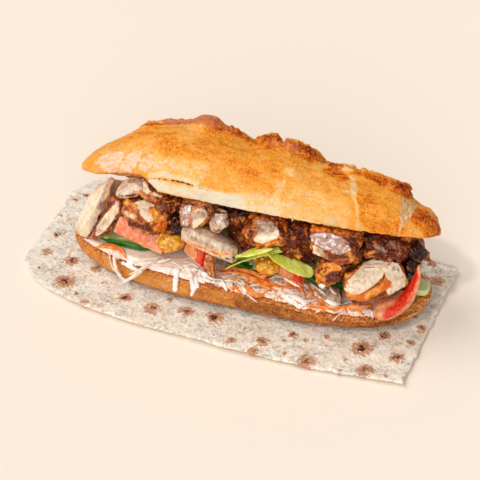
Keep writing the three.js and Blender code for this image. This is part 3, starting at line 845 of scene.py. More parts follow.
@dataclass(frozen=True)
class Crust:
    """Baked crust of a roll, from cream dough through gold to dark brown by how far it baked."""

    name: str = "baked_crust"
    bake_colours: tuple[tuple[float, Colour], ...] = (
        (0.02, (230, 220, 198)),
        (0.14, (240, 208, 156)),
        (0.30, (244, 192, 116)),
        (0.46, (246, 170, 76)),
        (0.62, (242, 152, 34)),
        (0.72, (228, 126, 18)),
        (0.82, (198, 86, 8)),
        (0.91, (150, 52, 6)),
        (1.00, (72, 22, 6)),
    )
    stretched: Colour = (252, 210, 178)
    stripe: Colour = (242, 166, 104)
    rosy: Colour = (198, 112, 76)
    slash: Colour = (240, 192, 134)
    slash_shade: Colour = (176, 124, 78)
    crack: Colour = (120, 58, 22)
    pore: Colour = (176, 82, 28)
    crumb: Colour = (232, 144, 68)
    crumb_light: Colour = (250, 206, 138)

    def make(self) -> bpy.types.Material:
        """Joins the finish's nodes.

        Returns:
            The material, which reads bake, a level from 0 to 1, and the masks stretch, rosy,
            slash, crack and crumb.
        """
        s = Sketch(self.name)
        mottle = s.noise(9, 5, 0.65)
        blotch = s.noise(3.4, 4, 0.6, 0.6, (0.6, 1.0, 1.0))
        fine = s.noise(1.2, 5, 0.75)
        flake = s.wrinkles(7.0, 0.022, (0.7, 1.0, 1.0))
        hair = s.wrinkles(3.2, 0.030, (0.6, 1.0, 1.2))
        level = s.maths("ADD", s.mask("bake"), s.span(mottle, 0.3, 0.7, -0.07, 0.07))
        level = s.maths("ADD", level, s.span(blotch, 0.32, 0.68, -0.08, 0.08))
        level = s.maths("ADD", level, s.span(fine, 0.32, 0.68, -0.12, 0.12))
        level = s.maths("SUBTRACT", level, s.maths("MULTIPLY", hair, 0.18))
        level = s.maths("SUBTRACT", level, s.maths("MULTIPLY", flake, 0.30))
        body = s.ramp(level, tuple((place, tint(*colour)) for place, colour in self.bake_colours))
        bands = s.span(s.noise(1.8, 4, 0.7, 0.4, (0.4, 1.0, 1.0)), 0.42, 0.64, 0.0, 0.8)
        stretched = s.blend(bands, tint(*self.stretched), tint(*self.stripe))
        body = s.blend(s.torn("stretch", 2.0, 0.7, 0.25), body, stretched)
        body = s.blend(s.maths("MULTIPLY", s.torn("rosy", 3.0, 0.5, 0.4), 0.85), body, tint(*self.rosy))
        striae = s.span(s.noise(0.8, 3, 0.6, 0.0, (1.0, 0.3, 0.3)), 0.42, 0.58, 0.0, 0.7)
        slashed = s.blend(striae, tint(*self.slash), tint(*self.slash_shade))
        body = s.blend(s.torn("slash", 1.5, 0.2, 0.1), body, slashed)
        body = s.blend(s.torn("crack", 1.2, 0.3), body, tint(*self.crack))
        crumb = s.ramp(
            s.noise(1.4, 4, 0.7),
            ((0.40, tint(*self.pore)), (0.50, tint(*self.crumb)), (0.66, tint(*self.crumb_light))),
        )
        body = s.blend(s.torn("crumb", 1.5, 0.5), body, crumb)
        s.colour(body)
        s.sheen(s.span(fine, 0.3, 0.7, 0.40, 0.60), 0.22)
        s.grain(blotch, 0.8, 0.7)
        s.grain(fine, 0.45, 0.9)
        s.grain(flake, 0.25, 0.7)
        return s.material


@dataclass(frozen=True)
class ToastedFlatbread:
    """Thin flatbread: floury cream with fine specks and toasted spots."""

    name: str = "toasted_flatbread"
    floury: Colour = (255, 250, 238)
    dough: Colour = (250, 234, 214)
    grey: Colour = (210, 190, 166)
    dust: Colour = (184, 136, 88)
    blush: Colour = (222, 172, 120)
    toast: Colour = (198, 130, 82)
    scorch: Colour = (92, 42, 24)

    def make(self) -> bpy.types.Material:
        """Joins the finish's nodes.

        Returns:
            The material, which reads the masks toast and scorch.
        """
        s = Sketch(self.name)
        cloudy = s.noise(6, 5, 0.7)
        body = s.blend(s.span(cloudy, 0.40, 0.58), tint(*self.dough), tint(*self.floury))
        flecks = s.span(s.noise(3.0, 5, 0.75, 0.8), 0.54, 0.62, 0.0, 0.7)
        body = s.blend(flecks, body, tint(*self.grey))
        dust = s.span(s.noise(1.3, 2, 0.6), 0.62, 0.70, 0.0, 0.8)
        body = s.blend(dust, body, tint(*self.dust))
        patches = s.span(s.noise(24), 0.42, 0.56)
        blush = s.maths("MULTIPLY", s.span(s.noise(4, 4, 0.75), 0.53, 0.62), patches)
        body = s.blend(s.maths("MULTIPLY", blush, 0.8), body, tint(*self.blush))
        toast = s.maths("MULTIPLY", s.torn("toast", 2.2, 0.75, 0.3), 0.85)
        body = s.blend(toast, body, tint(*self.toast))
        body = s.blend(s.torn("scorch", 1.5, 0.8, 0.3), body, tint(*self.scorch))
        s.colour(body)
        s.sheen(0.8, 0.15)
        s.grain(cloudy, 1.8, 0.9)
        s.grain(s.wrinkles(6.0, 0.04), 0.6, 0.8)
        s.grain(s.noise(1.2, 4, 0.7), 0.45, 0.8)
        return s.material


@dataclass(frozen=True)
class Chicken:
    """Grilled chicken: pale flesh where it was cut, roasted skin, char and sauce."""

    name: str
    cream: Colour = (246, 226, 196)
    tan: Colour = (214, 182, 148)
    # The next two colours are greyer flesh and painted shade on it, from light to deep.
    grey: Colour = (192, 158, 134)
    grey_deep: Colour = (144, 106, 86)
    roast_light: Colour = (222, 130, 52)
    roast: Colour = (172, 78, 26)
    roast_deep: Colour = (88, 28, 10)
    # The amber colours are amber crust and also painted highlights on raised crust.
    amber: Colour = (244, 168, 58)
    amber_deep: Colour = (220, 104, 16)
    # The next colour is dark roast and also painted shade in hollows.
    dark: Colour = (82, 26, 12)
    # char is char and also, on one piece, a painted shadow under the lid.
    char: Colour = (36, 13, 8)
    char_light: Colour = (104, 60, 46)
    sauce: Colour = (252, 242, 236)
    sauce_shade: Colour = (176, 140, 130)
    shine: float = 0.45

    def make(self) -> bpy.types.Material:
        """Joins the finish's nodes.

        Returns:
            The material, which reads the masks flesh, grey, amber, dark, char and sauce; grey holds greyer
            flesh and painted shade, amber also painted highlights, dark also painted shade in hollows, and
            char also a painted shadow.
        """
        s = Sketch(self.name)
        lumps = s.noise(5.5, 3, 0.55, 0.5)
        fine = s.noise(1.1, 5, 0.7)
        cooked = s.maths("ADD", lumps, s.span(fine, 0.3, 0.7, -0.05, 0.05))
        roast = s.ramp(
            cooked,
            ((0.32, tint(*self.roast_light)), (0.48, tint(*self.roast)), (0.62, tint(*self.roast_deep))),
        )
        fibre = s.noise(2.2, 4, 0.6, 0.4, (1.0, 1.0, 0.35))
        flesh = s.blend(s.span(fibre, 0.42, 0.70), tint(*self.cream), tint(*self.tan))
        rim = s.torn("flesh", 2.4, 0.25, 0.35)
        body = s.blend(rim, roast, flesh)
        edge = s.maths("MULTIPLY", s.span(rim, 0.05, 0.4), s.span(rim, 0.95, 0.5))
        body = s.blend(s.maths("MULTIPLY", edge, 0.75), body, tint(*self.roast_light))
        # Greyer flesh and painted shade: this blend darkens the flesh where the grey mask says.
        grey = s.blend(s.span(fibre, 0.4, 0.65), tint(*self.grey), tint(*self.grey_deep))
        body = s.blend(s.torn("grey", 4.5, 0.2, 0.5), body, grey)
        # The amber mask holds amber crust and painted highlights; the dark mask holds dark roast and painted
        # shade in hollows.
        amber = s.blend(s.span(cooked, 0.38, 0.58), tint(*self.amber), tint(*self.amber_deep))
        body = s.blend(s.torn("amber", 3.0, 0.5, 0.4), body, amber)
        dark = s.blend(s.span(fine, 0.48, 0.68), tint(*self.dark), tint(*self.roast))
        body = s.blend(s.torn("dark", 3.2, 0.6, 0.4), body, dark)
        # The char mask holds char and, on one piece, a painted shadow under the lid.
        char = s.blend(s.span(fine, 0.52, 0.68), tint(*self.char), tint(*self.char_light))
        body = s.blend(s.torn("char", 3.0, 0.6, 0.3), body, char)
        thin = s.span(s.noise(3.2, 5, 0.7, 0.8), 0.36, 0.54)
        creamy = s.blend(thin, tint(*self.sauce), tint(*self.sauce_shade))
        body = s.blend(s.torn("sauce", 2.2, 0.8, 0.15), body, creamy)
        s.colour(body)
        s.sheen(s.span(fine, 0.35, 0.65, 0.12, 0.30), self.shine, 0.04)
        s.grain(lumps, 0.7, 0.6)
        s.grain(fine, 0.12, 0.7)
        return s.material


@dataclass(frozen=True)
class Tomato:
    """Cut tomato: wet salmon flesh inside a red skin."""

    name: str = "cut_tomato"
    flesh: Colour = (230, 132, 84)
    streak: Colour = (246, 186, 134)
    skin: Colour = (226, 32, 4)

    def make(self) -> bpy.types.Material:
        """Joins the finish's nodes; the material reads the mask skin."""
        s = Sketch(self.name)
        veins = s.noise(2.5, 4, 0.65, 0.6)
        body = s.blend(s.span(veins, 0.4, 0.65), tint(*self.flesh), tint(*self.streak))
        body = s.blend(s.torn("skin", 2.0, 0.25, 0.5), body, tint(*self.skin))
        s.colour(body)
        s.sheen(0.2, 0.5, 0.1)
        s.grain(veins, 0.3, 0.5)
        return s.material


@dataclass(frozen=True)
class SeedJelly:
    """Amber jelly that holds a tomato's seeds."""

    name: str = "seed_jelly"
    deep: Colour = (206, 122, 16)
    bright: Colour = (246, 190, 60)

    def make(self) -> bpy.types.Material:
        """Joins the finish's nodes."""
        s = Sketch(self.name)
        cloud = s.noise(3.5, 3)
        body = s.blend(s.span(cloud, 0.35, 0.65), tint(*self.deep), tint(*self.bright))
        s.colour(body)
        s.sheen(0.15, 0.6, 0.2)
        s.grain(cloud, 0.6, 0.5)
        return s.material


@dataclass(frozen=True)
class Cucumber:
    """Sliced cucumber: pale wet flesh inside a dark green rim."""

    name: str = "cucumber"
    flesh: Colour = (226, 230, 170)
    outer: Colour = (138, 186, 60)
    skin: Colour = (26, 92, 12)
    skin_light: Colour = (70, 130, 44)

    def make(self) -> bpy.types.Material:
        """Joins the finish's nodes; the material reads the masks rim and skin."""
        s = Sketch(self.name)
        cloud = s.noise(3, 3)
        body = s.blend(s.span(cloud, 0.35, 0.65, 0.0, 0.25), tint(*self.flesh), tint(*self.outer))
        body = s.blend(s.mask("rim"), body, tint(*self.outer))
        skin = s.blend(s.span(s.noise(2.0), 0.4, 0.65), tint(*self.skin), tint(*self.skin_light))
        body = s.blend(s.torn("skin", 2.0, 0.2), body, skin)
        s.colour(body)
        s.sheen(0.3, 0.3, 0.1)
        s.grain(cloud, 0.2, 0.5)
        return s.material


@dataclass(frozen=True)
class Leaf:
    """Lettuce: yellow green with paler veins."""

    name: str = "lettuce_leaf"
    blade: Colour = (202, 212, 50)
    pale: Colour = (236, 238, 134)

    def make(self) -> bpy.types.Material:
        """Joins the finish's nodes."""
        s = Sketch(self.name)
        veins = s.span(s.cell_edges(5, 0.8), 0.0, 0.12, 1.0, 0.0)
        body = s.blend(s.span(s.noise(6), 0.35, 0.7), tint(*self.blade), tint(*self.pale))
        body = s.blend(s.maths("MULTIPLY", veins, 0.5), body, tint(*self.pale))
        s.colour(body)
        s.sheen(0.35, 0.2, 0.15)
        s.grain(veins, 0.3, 0.5)
        return s.material


@dataclass(frozen=True)
class Onion:
    """Browned onion: glossy amber brown, streaked along its length."""

    name: str = "browned_onion"
    deep: Colour = (118, 44, 10)
    brown: Colour = (190, 96, 34)
    light: Colour = (244, 184, 122)

    def make(self) -> bpy.types.Material:
        """Joins the finish's nodes."""
        s = Sketch(self.name)
        streaks = s.noise(1.2, 3, 0.6, 0.0, (1.0, 1.0, 0.15))
        stops = ((0.34, tint(*self.deep)), (0.5, tint(*self.brown)), (0.66, tint(*self.light)))
        s.colour(s.ramp(streaks, stops))
        s.sheen(0.18, 0.5, 0.1)
        s.grain(streaks, 0.3, 0.6)
        return s.material


@dataclass(frozen=True)
class Slaw:
    """Dressed slaw: creamy, with paler and orange shreds showing through."""

    name: str = "dressed_slaw"
    cream: Colour = (255, 244, 234)
    shade: Colour = (252, 228, 210)
    shred: Colour = (240, 206, 176)
    orange: Colour = (244, 152, 72)

    def make(self) -> bpy.types.Material:
        """Joins the finish's nodes; the material reads the mask carrot."""
        s = Sketch(self.name)
        cloud = s.noise(5, 4, 0.6)
        fine = s.noise(1.6, 4, 0.6)
        body = s.blend(s.span(cloud, 0.35, 0.65), tint(*self.shade), tint(*self.cream))
        body = s.blend(s.span(fine, 0.55, 0.7, 0.0, 0.35), body, tint(*self.shred))
        body = s.blend(s.maths("MULTIPLY", s.torn("carrot", 2.5, 0.6), 0.8), body, tint(*self.orange))
        s.colour(body)
        s.sheen(0.35, 0.25, 0.1)
        s.grain(cloud, 0.6, 0.5)
        s.grain(fine, 0.3, 0.6)
        return s.material


@dataclass(frozen=True)
class Shred:
    """A raw vegetable cut in shreds: one colour family, streaked and moist."""

    name: str
    main: Colour
    light: Colour

    def make(self) -> bpy.types.Material:
        """Joins the finish's nodes."""
        s = Sketch(self.name)
        cloud = s.noise(3, 3)
        s.colour(s.blend(s.span(cloud, 0.35, 0.65), tint(*self.main), tint(*self.light)))
        s.sheen(0.3, 0.3, 0.15)
        s.grain(s.noise(0.8, 3), 0.15, 0.5)
        return s.material


@dataclass(frozen=True)
class Dressing:
    """Thick white sauce."""

    name: str = "white_sauce"
    shade: Colour = (240, 230, 222)
    white: Colour = (252, 248, 244)

    def make(self) -> bpy.types.Material:
        """Joins the finish's nodes."""
        s = Sketch(self.name)
        cloud = s.noise(3, 3)
        s.colour(s.blend(s.span(cloud, 0.3, 0.7), tint(*self.shade), tint(*self.white)))
        s.sheen(0.3, 0.3, 0.15)
        s.grain(cloud, 0.3, 0.5)
        return s.material


@dataclass
class Roll:
    """The baked roll: a lid with scored crests over a flat base.

    The bakes are levels from 0, raw dough, to 1, burnt. The marks that come with a number draw the level
    there towards it, or for the crest lift the skin by that many mm. On the base the darker marks along the
    lower front and the bottom edge are deeper bake and painted shade.
    """

    grain: float = 0.75
    lid_bake: float = 0.52
    lid_back_bake: float = 0.66
    base_bake: float = 0.70
    base_back_bake: float = 0.74
    underside_bake: float = 0.86
    crack_depth: float = 0.8
    lid_relief: Relief = ((20, 1.2), (6, 1.0), (2.2, 0.9))
    torn_relief: Relief = ((5, 5.0), (2.2, 4.5))
    base_relief: Relief = ((18, 0.6),)
    crumb_relief: Relief = ((2.0, 1.6),)
    dull_bake_colours: tuple[tuple[float, Colour], ...] = (
        (0.02, (226, 210, 186)),
        (0.50, (220, 146, 66)),
        (0.68, (200, 120, 46)),
        (0.84, (158, 88, 32)),
        (1.00, (92, 42, 14)),
    )
    golden_marks: tuple[tuple[float, Mark], ...] = (
        (0.42, Mark(((150, 146), (162, 150)), 3.0, 6.0)),
        (0.58, Mark(((120, 140), (135, 134), (150, 131)), 4.0, 6.0)),
        (0.68, Mark(((140, 134), (152, 131)), 1.5, 4.0)),
        (0.66, Mark(((165, 140), (175, 152), (200, 152), (215, 150)), 4.5, 8.0)),
        (0.67, Mark(((215, 140), (232, 152), (250, 165), (270, 175)), 6.0, 9.0)),
        (0.60, Mark(((262, 155), (285, 160), (300, 165)), 4.0, 8.0)),
        (0.56, Mark(((280, 182), (295, 184), (325, 186), (345, 192)), 3.0, 6.0)),
        (0.38, Mark(((158, 165), (180, 168), (200, 170)), 3.0, 6.0)),
        (0.42, Mark(((300, 200), (320, 207), (340, 213)), 4.0, 8.0)),
        (0.33, Mark(((280, 186), (276, 200)), 0.8, 2.5)),
        (0.22, Mark(((289, 171), (291, 172)), 1.0, 3.0)),
        (0.30, Mark(((284, 182), (278, 192), (273, 200)), 0.4, 1.6)),
        (0.68, Mark(((366, 202), (378, 212), (392, 222)), 6.0, 7.0)),
        (0.70, Mark(((370, 224), (392, 228)), 2.0, 4.0)),
        (0.60, Mark(((362, 186), (380, 192), (396, 200)), 3.0, 5.0)),
    )
    dark_marks: tuple[tuple[float, Mark], ...] = (
        (0.78, Mark(((214, 124), (228, 129), (242, 136), (254, 143)), 1.5, 6.0)),
        (0.88, Mark(((240, 133), (250, 139), (257, 142)), 1.0, 2.5)),
        (0.72, Mark(((263, 143), (272, 141), (283, 146)), 3.0, 5.0)),
        (0.84, Mark(((264, 138), (271, 135), (280, 137), (284, 142)), 1.6, 3.0)),
        (0.76, Mark(((288, 145), (300, 152), (314, 158)), 3.0, 5.0)),
        (0.86, Mark(((300, 146), (308, 149), (318, 156)), 2.2, 2.5)),
        (0.86, Mark(((320, 160), (330, 162), (338, 166)), 1.8, 2.5)),
        (0.77, Mark(((328, 171), (335, 173), (343, 177)), 2.2, 3.5)),
        (0.79, Mark(((352, 171), (368, 176), (384, 181)), 1.0, 3.0)),
        (0.81, Mark(((384, 181), (396, 186), (410, 192)), 3.5, 3.5)),
        (0.88, Mark(((395, 183), (410, 191)), 1.4, 2.0)),
        (0.78, Mark(((416, 212), (426, 222), (437, 233)), 4.5, 5.0)),
        (0.86, Mark(((426, 214), (434, 224), (441, 236)), 1.5, 3.0)),
        (0.90, Mark(((142, 125), (158, 124), (176, 123), (190, 122.5)), 0.1, 1.1, 0.9)),
    )
    ragged_marks: tuple[Mark, ...] = (
        Mark(((143, 124), (160, 122), (180, 121), (196, 119), (208, 117), (222, 122)), 0.5, 2.5, 0.35),
        Mark(((228, 127), (240, 133), (252, 140), (260, 141), (266, 137), (273, 134), (281, 138)),
             1.0, 3.0, 0.8),
        Mark(((284, 141), (296, 143), (306, 147), (318, 156), (330, 160), (342, 165)), 1.5, 3.0),
        Mark(((350, 167), (368, 173), (384, 178), (396, 183), (408, 188), (413, 194)), 1.5, 3.0),
        Mark(((416, 203), (426, 212), (434, 222), (441, 234)), 0.5, 2.5, 0.5),
    )
    pale_marks: tuple[tuple[float, Mark], ...] = (
        (0.10, Mark(((152, 184), (172, 189), (196, 194), (214, 198)), 2.2, 2.2)),
        (0.16, Mark(((150, 176), (163, 174), (178, 178), (196, 184)), 1.0, 1.8)),
        (0.20, Mark(((240, 202), (265, 207), (290, 213)), 3.4, 5.0)),
        (0.05, Mark(((198, 194), (220, 199), (240, 204)), 2.6, 3.5)),
        (0.12, Mark(((240, 206), (265, 211), (290, 217)), 0.8, 2.5)),
        (0.34, Mark(((290, 214), (318, 221), (345, 229)), 2.0, 5.0)),
        (0.22, Mark(((290, 218), (318, 224), (345, 231)), 0.3, 2.0)),
        (0.36, Mark(((345, 230), (372, 235), (398, 238)), 0.6, 2.2)),
        (0.32, Mark(((344, 169), (352, 171)), 0.6, 1.2)),
        (0.22, Mark(((353, 184), (354, 196)), 0.8, 1.6)),
        (0.30, Mark(((354, 196), (357, 208), (358, 226)), 0.3, 1.2)),
    )
    stretch_marks: tuple[Mark, ...] = (
        Mark(((97, 163), (101, 158), (112, 154), (123, 153), (121, 160), (116, 168), (112, 174), (106, 170)),
             0.4, 1.6, filled=True),
        Mark(((128, 156), (134, 152), (140, 153), (138, 160), (132, 168), (127, 175), (119, 174), (123, 164)),
             0.4, 1.6, filled=True),
        Mark(((141, 166), (144, 159), (150, 157), (151, 163), (146, 170)), 0.6, 1.8, 0.8, filled=True),
        Mark(((156, 168), (163, 162)), 1.5, 2.5, 0.5),
        Mark(((351, 177), (353, 181)), 0.5, 1.0, 0.8),
    )
    rosy_marks: tuple[Mark, ...] = (
        Mark(((168, 121), (186, 120), (204, 118), (214, 120)), 2.2, 3.0),
        Mark(((205, 121), (220, 124), (232, 129)), 1.0, 4.0, 0.7),
        Mark(((286, 144), (294, 147)), 2.2, 3.5, 0.5),
        Mark(((270, 138), (276, 142)), 1.0, 3.0, 0.3),
    )
    slash_marks: tuple[Mark, ...] = (
        Mark(((403, 200), (411, 201), (416, 206), (411, 214), (407, 220), (402, 226), (401, 214)),
             0.5, 0.8, filled=True),
        Mark(((401, 226), (398, 236)), 0.3, 0.8, 0.8),
    )
    crack_marks: tuple[Mark, ...] = (
        Mark(((150, 178.5), (160, 179), (172, 180.5)), 0.0, 0.8, 0.8),
        Mark(((172, 180.5), (182, 182.5), (192, 185.5)), 0.2, 0.7),
        Mark(((195, 187), (200, 188.5), (207, 190)), 0.0, 0.7, 0.6),
    )
    crest_lift: tuple[tuple[float, Mark], ...] = (
        (0.8, Mark(((143, 125), (146, 124)), 1.0, 4.0)),
        (-1.6, Mark(((160, 123), (174, 123), (184, 123)), 1.5, 4.5)),
        (4.6, Mark(((204, 124), (211, 124)), 2.0, 8.0)),
        (2.0, Mark(((266, 139), (272, 137), (280, 139)), 1.5, 5.0)),
        (1.2, Mark(((292, 143), (304, 147), (316, 153)), 2.0, 4.0)),
        (1.4, Mark(((394, 185), (404, 188), (412, 192)), 1.5, 4.0)),
    )
    # Painted shade with the bake: the two darker marks, along the lower front and the bottom edge, are deeper
    # bake and painted shade; the first draws the left lighter.
    base_bake_and_shade_marks: tuple[tuple[float, Mark], ...] = (
        (0.60, Mark(((82, 244), (96, 258), (120, 270), (150, 283), (180, 292)), 2.0, 4.0)),
        (0.84, Mark(((240, 302), (280, 311), (320, 319), (360, 324), (395, 321)), 3.0, 4.0)),
        (0.92, Mark(((180, 301), (215, 306), (250, 312), (285, 319), (320, 326), (360, 330)), 0.8, 4.0)),
    )
    cut_marks: tuple[Mark, ...] = (
        Mark(((400, 314), (408, 304), (418, 292), (426, 284), (430, 288), (429, 298), (420, 309), (408, 317)),
             0.8, 1.2, filled=True),
        Mark(((416, 276), (424, 278), (431, 284)), 0.8, 1.5),
        Mark(((96, 250), (112, 257), (130, 267), (150, 274), (170, 281)), 0.2, 1.2, 0.5),
        Mark(((335, 314), (350, 319), (378, 320), (392, 316)), 0.4, 1.5, 0.6),
    )

    def build(self, ground: Ground) -> None:
        """Shapes, marks and finishes the lid and the base.

        Args:
            ground: Takes the base in.
        """
        self.build_lid(Crust().make())
        ground.add(self.build_base(Crust("dull_crust", self.dull_bake_colours).make()))

    @staticmethod
    def levelled(solid: Solid, start: np.ndarray, *tones: tuple[float, Mark]) -> np.ndarray:
        """Draws a level towards each mark's own, one mark after another.

        Args:
            solid: The piece that is marked.
            start: Its level before, for each vertex.
            *tones: Pairs of a level and the mark that has it.

        Returns:
            The level for each vertex.
        """
        level = start.copy()
        for tone, mark in tones:
            share = solid.reach_of((mark,))
            level += (tone - level) * share
        return level

    def build_lid(self, crust: bpy.types.Material) -> None:
        """Makes the lid's crust, with its cracks, crests and stretched dough.

        Args:
            crust: The baked crust's finish.
        """
        lid = Solid.copy_of("roll_lid", "lid_crust")
        lid.remesh(self.grain)
        lid.soften(3)
        for height, mark in self.crest_lift:
            lid.carve(lid.reach_of((mark,)), height)
        lid.soften(2)
        level = np.full(len(lid.places()), self.lid_bake)
        level = self.levelled(lid, level, *self.golden_marks)
        level = self.levelled(lid, level, *self.dark_marks)
        level += (self.lid_back_bake - level) * lid.facing(Heading.BACK, 0.0, 0.7)
        level = self.levelled(lid, level, *self.pale_marks)
        lid.note("bake", level)
        lid.note("stretch", lid.reach_of(self.stretch_marks))
        lid.note("rosy", lid.reach_of(self.rosy_marks))
        lid.note("slash", lid.reach_of(self.slash_marks))
        cracked = lid.reach_of(self.crack_marks)
        lid.note("crack", cracked)
        lid.note("crumb", lid.facing(Heading.DOWN, 0.35, 0.6))
        lid.weigh("ragged", lid.reach_of(self.ragged_marks))
        lid.roughen(self.lid_relief)
        lid.roughen(self.torn_relief, "ragged")
        lid.carve(cracked, -self.crack_depth)
        lid.dress(crust, Slot.CRUST, "roll_lid")

    def build_base(self, crust: bpy.types.Material) -> Solid:
        """Makes the base's crust, with its cut crumb on top.

        Args:
            crust: The baked crust's finish.

        Returns:
            The base, for the filling to lie on.
        """
        base = Solid.copy_of("roll_base", "base_crust")
        base.remesh(self.grain)
        base.soften(4)
        base.roughen(self.base_relief)
        level = np.full(len(base.places()), self.base_bake)
        # The base's marks paint shade along its lower front and bottom edge along with the bake.
        level = self.levelled(base, level, *self.base_bake_and_shade_marks)
        level += (self.underside_bake - level) * base.facing(Heading.DOWN, 0.2, 0.8)
        level += (self.base_back_bake - level) * base.facing(Heading.BACK, 0.2, 0.8)
        base.note("bake", level)
        blank = np.zeros(len(level))
        for mask in ("stretch", "rosy", "slash", "crack"):
            base.note(mask, blank)
        cut = np.maximum(base.reach_of(self.cut_marks), base.facing(Heading.UP, 0.93, 0.98))
        base.note("crumb", cut)
        base.weigh("cut", cut)
        base.roughen(self.crumb_relief, "cut")
        base.dress(crust, Slot.CRUST, "roll_base")
        return base


@dataclass
class Flatbread:
    """The toasted flatbread that the roll lies on.

    Each of the spots holds its pixel, its size in mm and how dark its middle is; the half
    behind the roll has spots that are drawn.
    """

    grain: float = 1.2
    relief: Relief = ((14, 1.2), (5, 0.9))
    blister: float = 0.5
    back_seed: int = 5
    back_count: int = 22
    spots: tuple[tuple[Pixel, float, float], ...] = (
        ((86, 196), 1.6, 0.8), ((76, 200), 1.2, 0.3), ((57, 235), 2.2, 0.55), ((47, 252), 2.6, 0.15),
        ((72, 261), 3.6, 0.6), ((65, 282), 5.0, 0.75), ((96, 269), 2.8, 0.6), ((76, 294), 1.0, 0.5),
        ((84, 302), 1.6, 0.2), ((125, 298), 3.2, 0.9), ((152, 309), 3.8, 0.5), ((186, 312), 3.6, 0.7),
        ((214, 318), 4.2, 0.95), ((231, 341), 2.0, 0.35), ((262, 342), 3.0, 0.6), ((253, 351), 2.2, 0.4),
        ((293, 335), 2.2, 0.8), ((305, 340), 1.2, 0.1), ((327, 337), 1.6, 0.3), ((306, 361), 4.0, 0.45),
        ((362, 349), 4.6, 0.9), ((384, 336), 2.8, 0.9), ((397, 358), 3.4, 0.8), ((365, 370), 3.8, 0.4),
        ((421, 329), 2.4, 0.5), ((414, 317), 1.4, 0.2), ((432, 264), 2.2, 0.35), ((437, 281), 3.6, 0.3),
        ((39, 268), 0.8, 0.3), ((108, 302), 0.9, 0.3), ((284, 341), 0.9, 0.5), ((345, 360), 0.9, 0.2),
        ((340, 371), 1.0, 0.2), ((386, 376), 0.9, 0.2), ((123, 312), 0.8, 0.2), ((60, 216), 1.0, 0.15),
        ((411, 343), 1.8, 0.25), ((420, 300), 1.6, 0.3), ((448, 262), 1.2, 0.3), ((104, 283), 1.2, 0.15),
        ((285, 353), 1.0, 0.2), ((245, 329), 1.0, 0.2), ((170, 300), 1.4, 0.2), ((134, 327), 0.7, 0.6),
    )

    def build(self, ground: Ground) -> None:
        """Shapes, marks and finishes the flatbread.

        Args:
            ground: Takes the flatbread in.
        """
        sheet = Solid.copy_of("flatbread", "toasted_sheet")
        sheet.remesh(self.grain)
        sheet.soften(4)
        rng = random.Random(self.back_seed)
        tree = sheet.skin()
        seen = [(tree.ray_cast(*EYE.ray(pixel))[0], size, dark) for pixel, size, dark in self.spots]
        toasted = [((hit.x / MM, hit.y / MM), size, dark) for hit, size, dark in seen if hit is not None]
        toasted += [
            ((rng.uniform(-120, 120), rng.uniform(6, 66)), rng.uniform(1.0, 4.4), rng.uniform(0.1, 1.0))
            for _ in range(self.back_count)
        ]
        places = sheet.places()
        toast = np.zeros(len(places))
        scorch = np.zeros(len(places))
        for (across, along), size, dark in toasted:
            far = np.hypot(places[:, 0] - across, places[:, 1] - along)
            toast = np.maximum(toast, eased(1 - (far - size * 0.8) / (size * 1.1)))
            scorch = np.maximum(scorch, dark * eased(1 - (far - size * 0.2) / (size * 0.8)))
        sheet.note("toast", toast)
        sheet.note("scorch", scorch)
        sheet.carve(toast, self.blister)
        sheet.roughen(self.relief)
        sheet.dress(ToastedFlatbread().make(), Slot.FLATBREAD, "flatbread")
        ground.add(sheet)


class Coat(Enum):
    """What covers or shows of a piece of chicken; each value is the name of its mask. The grey coat is greyer
    flesh and painted shade on the flesh; the amber coat also holds painted highlights on raised crust, the
    dark coat painted shade in hollows, and the char coat a painted shadow under the lid on one piece.
    """

    FLESH = "flesh"
    GREY_AND_SHADE = "grey"
    AMBER_AND_HIGHLIGHT = "amber"
    DARK = "dark"
    CHAR = "char"
    SAUCE = "sauce"


@dataclass(frozen=True)
class Cut:
    """How one piece of chicken looks.

    `over` holds a coat's share all over the piece, `marks` the strokes of each coat, and
    `crag` how craggy its crust is next to the others.
    """

    node: str
    slot: Slot = Slot.ROASTED
    over: tuple[tuple[Coat, float], ...] = ()
    marks: tuple[tuple[Coat, Mark], ...] = ()
    crag: float = 1.0


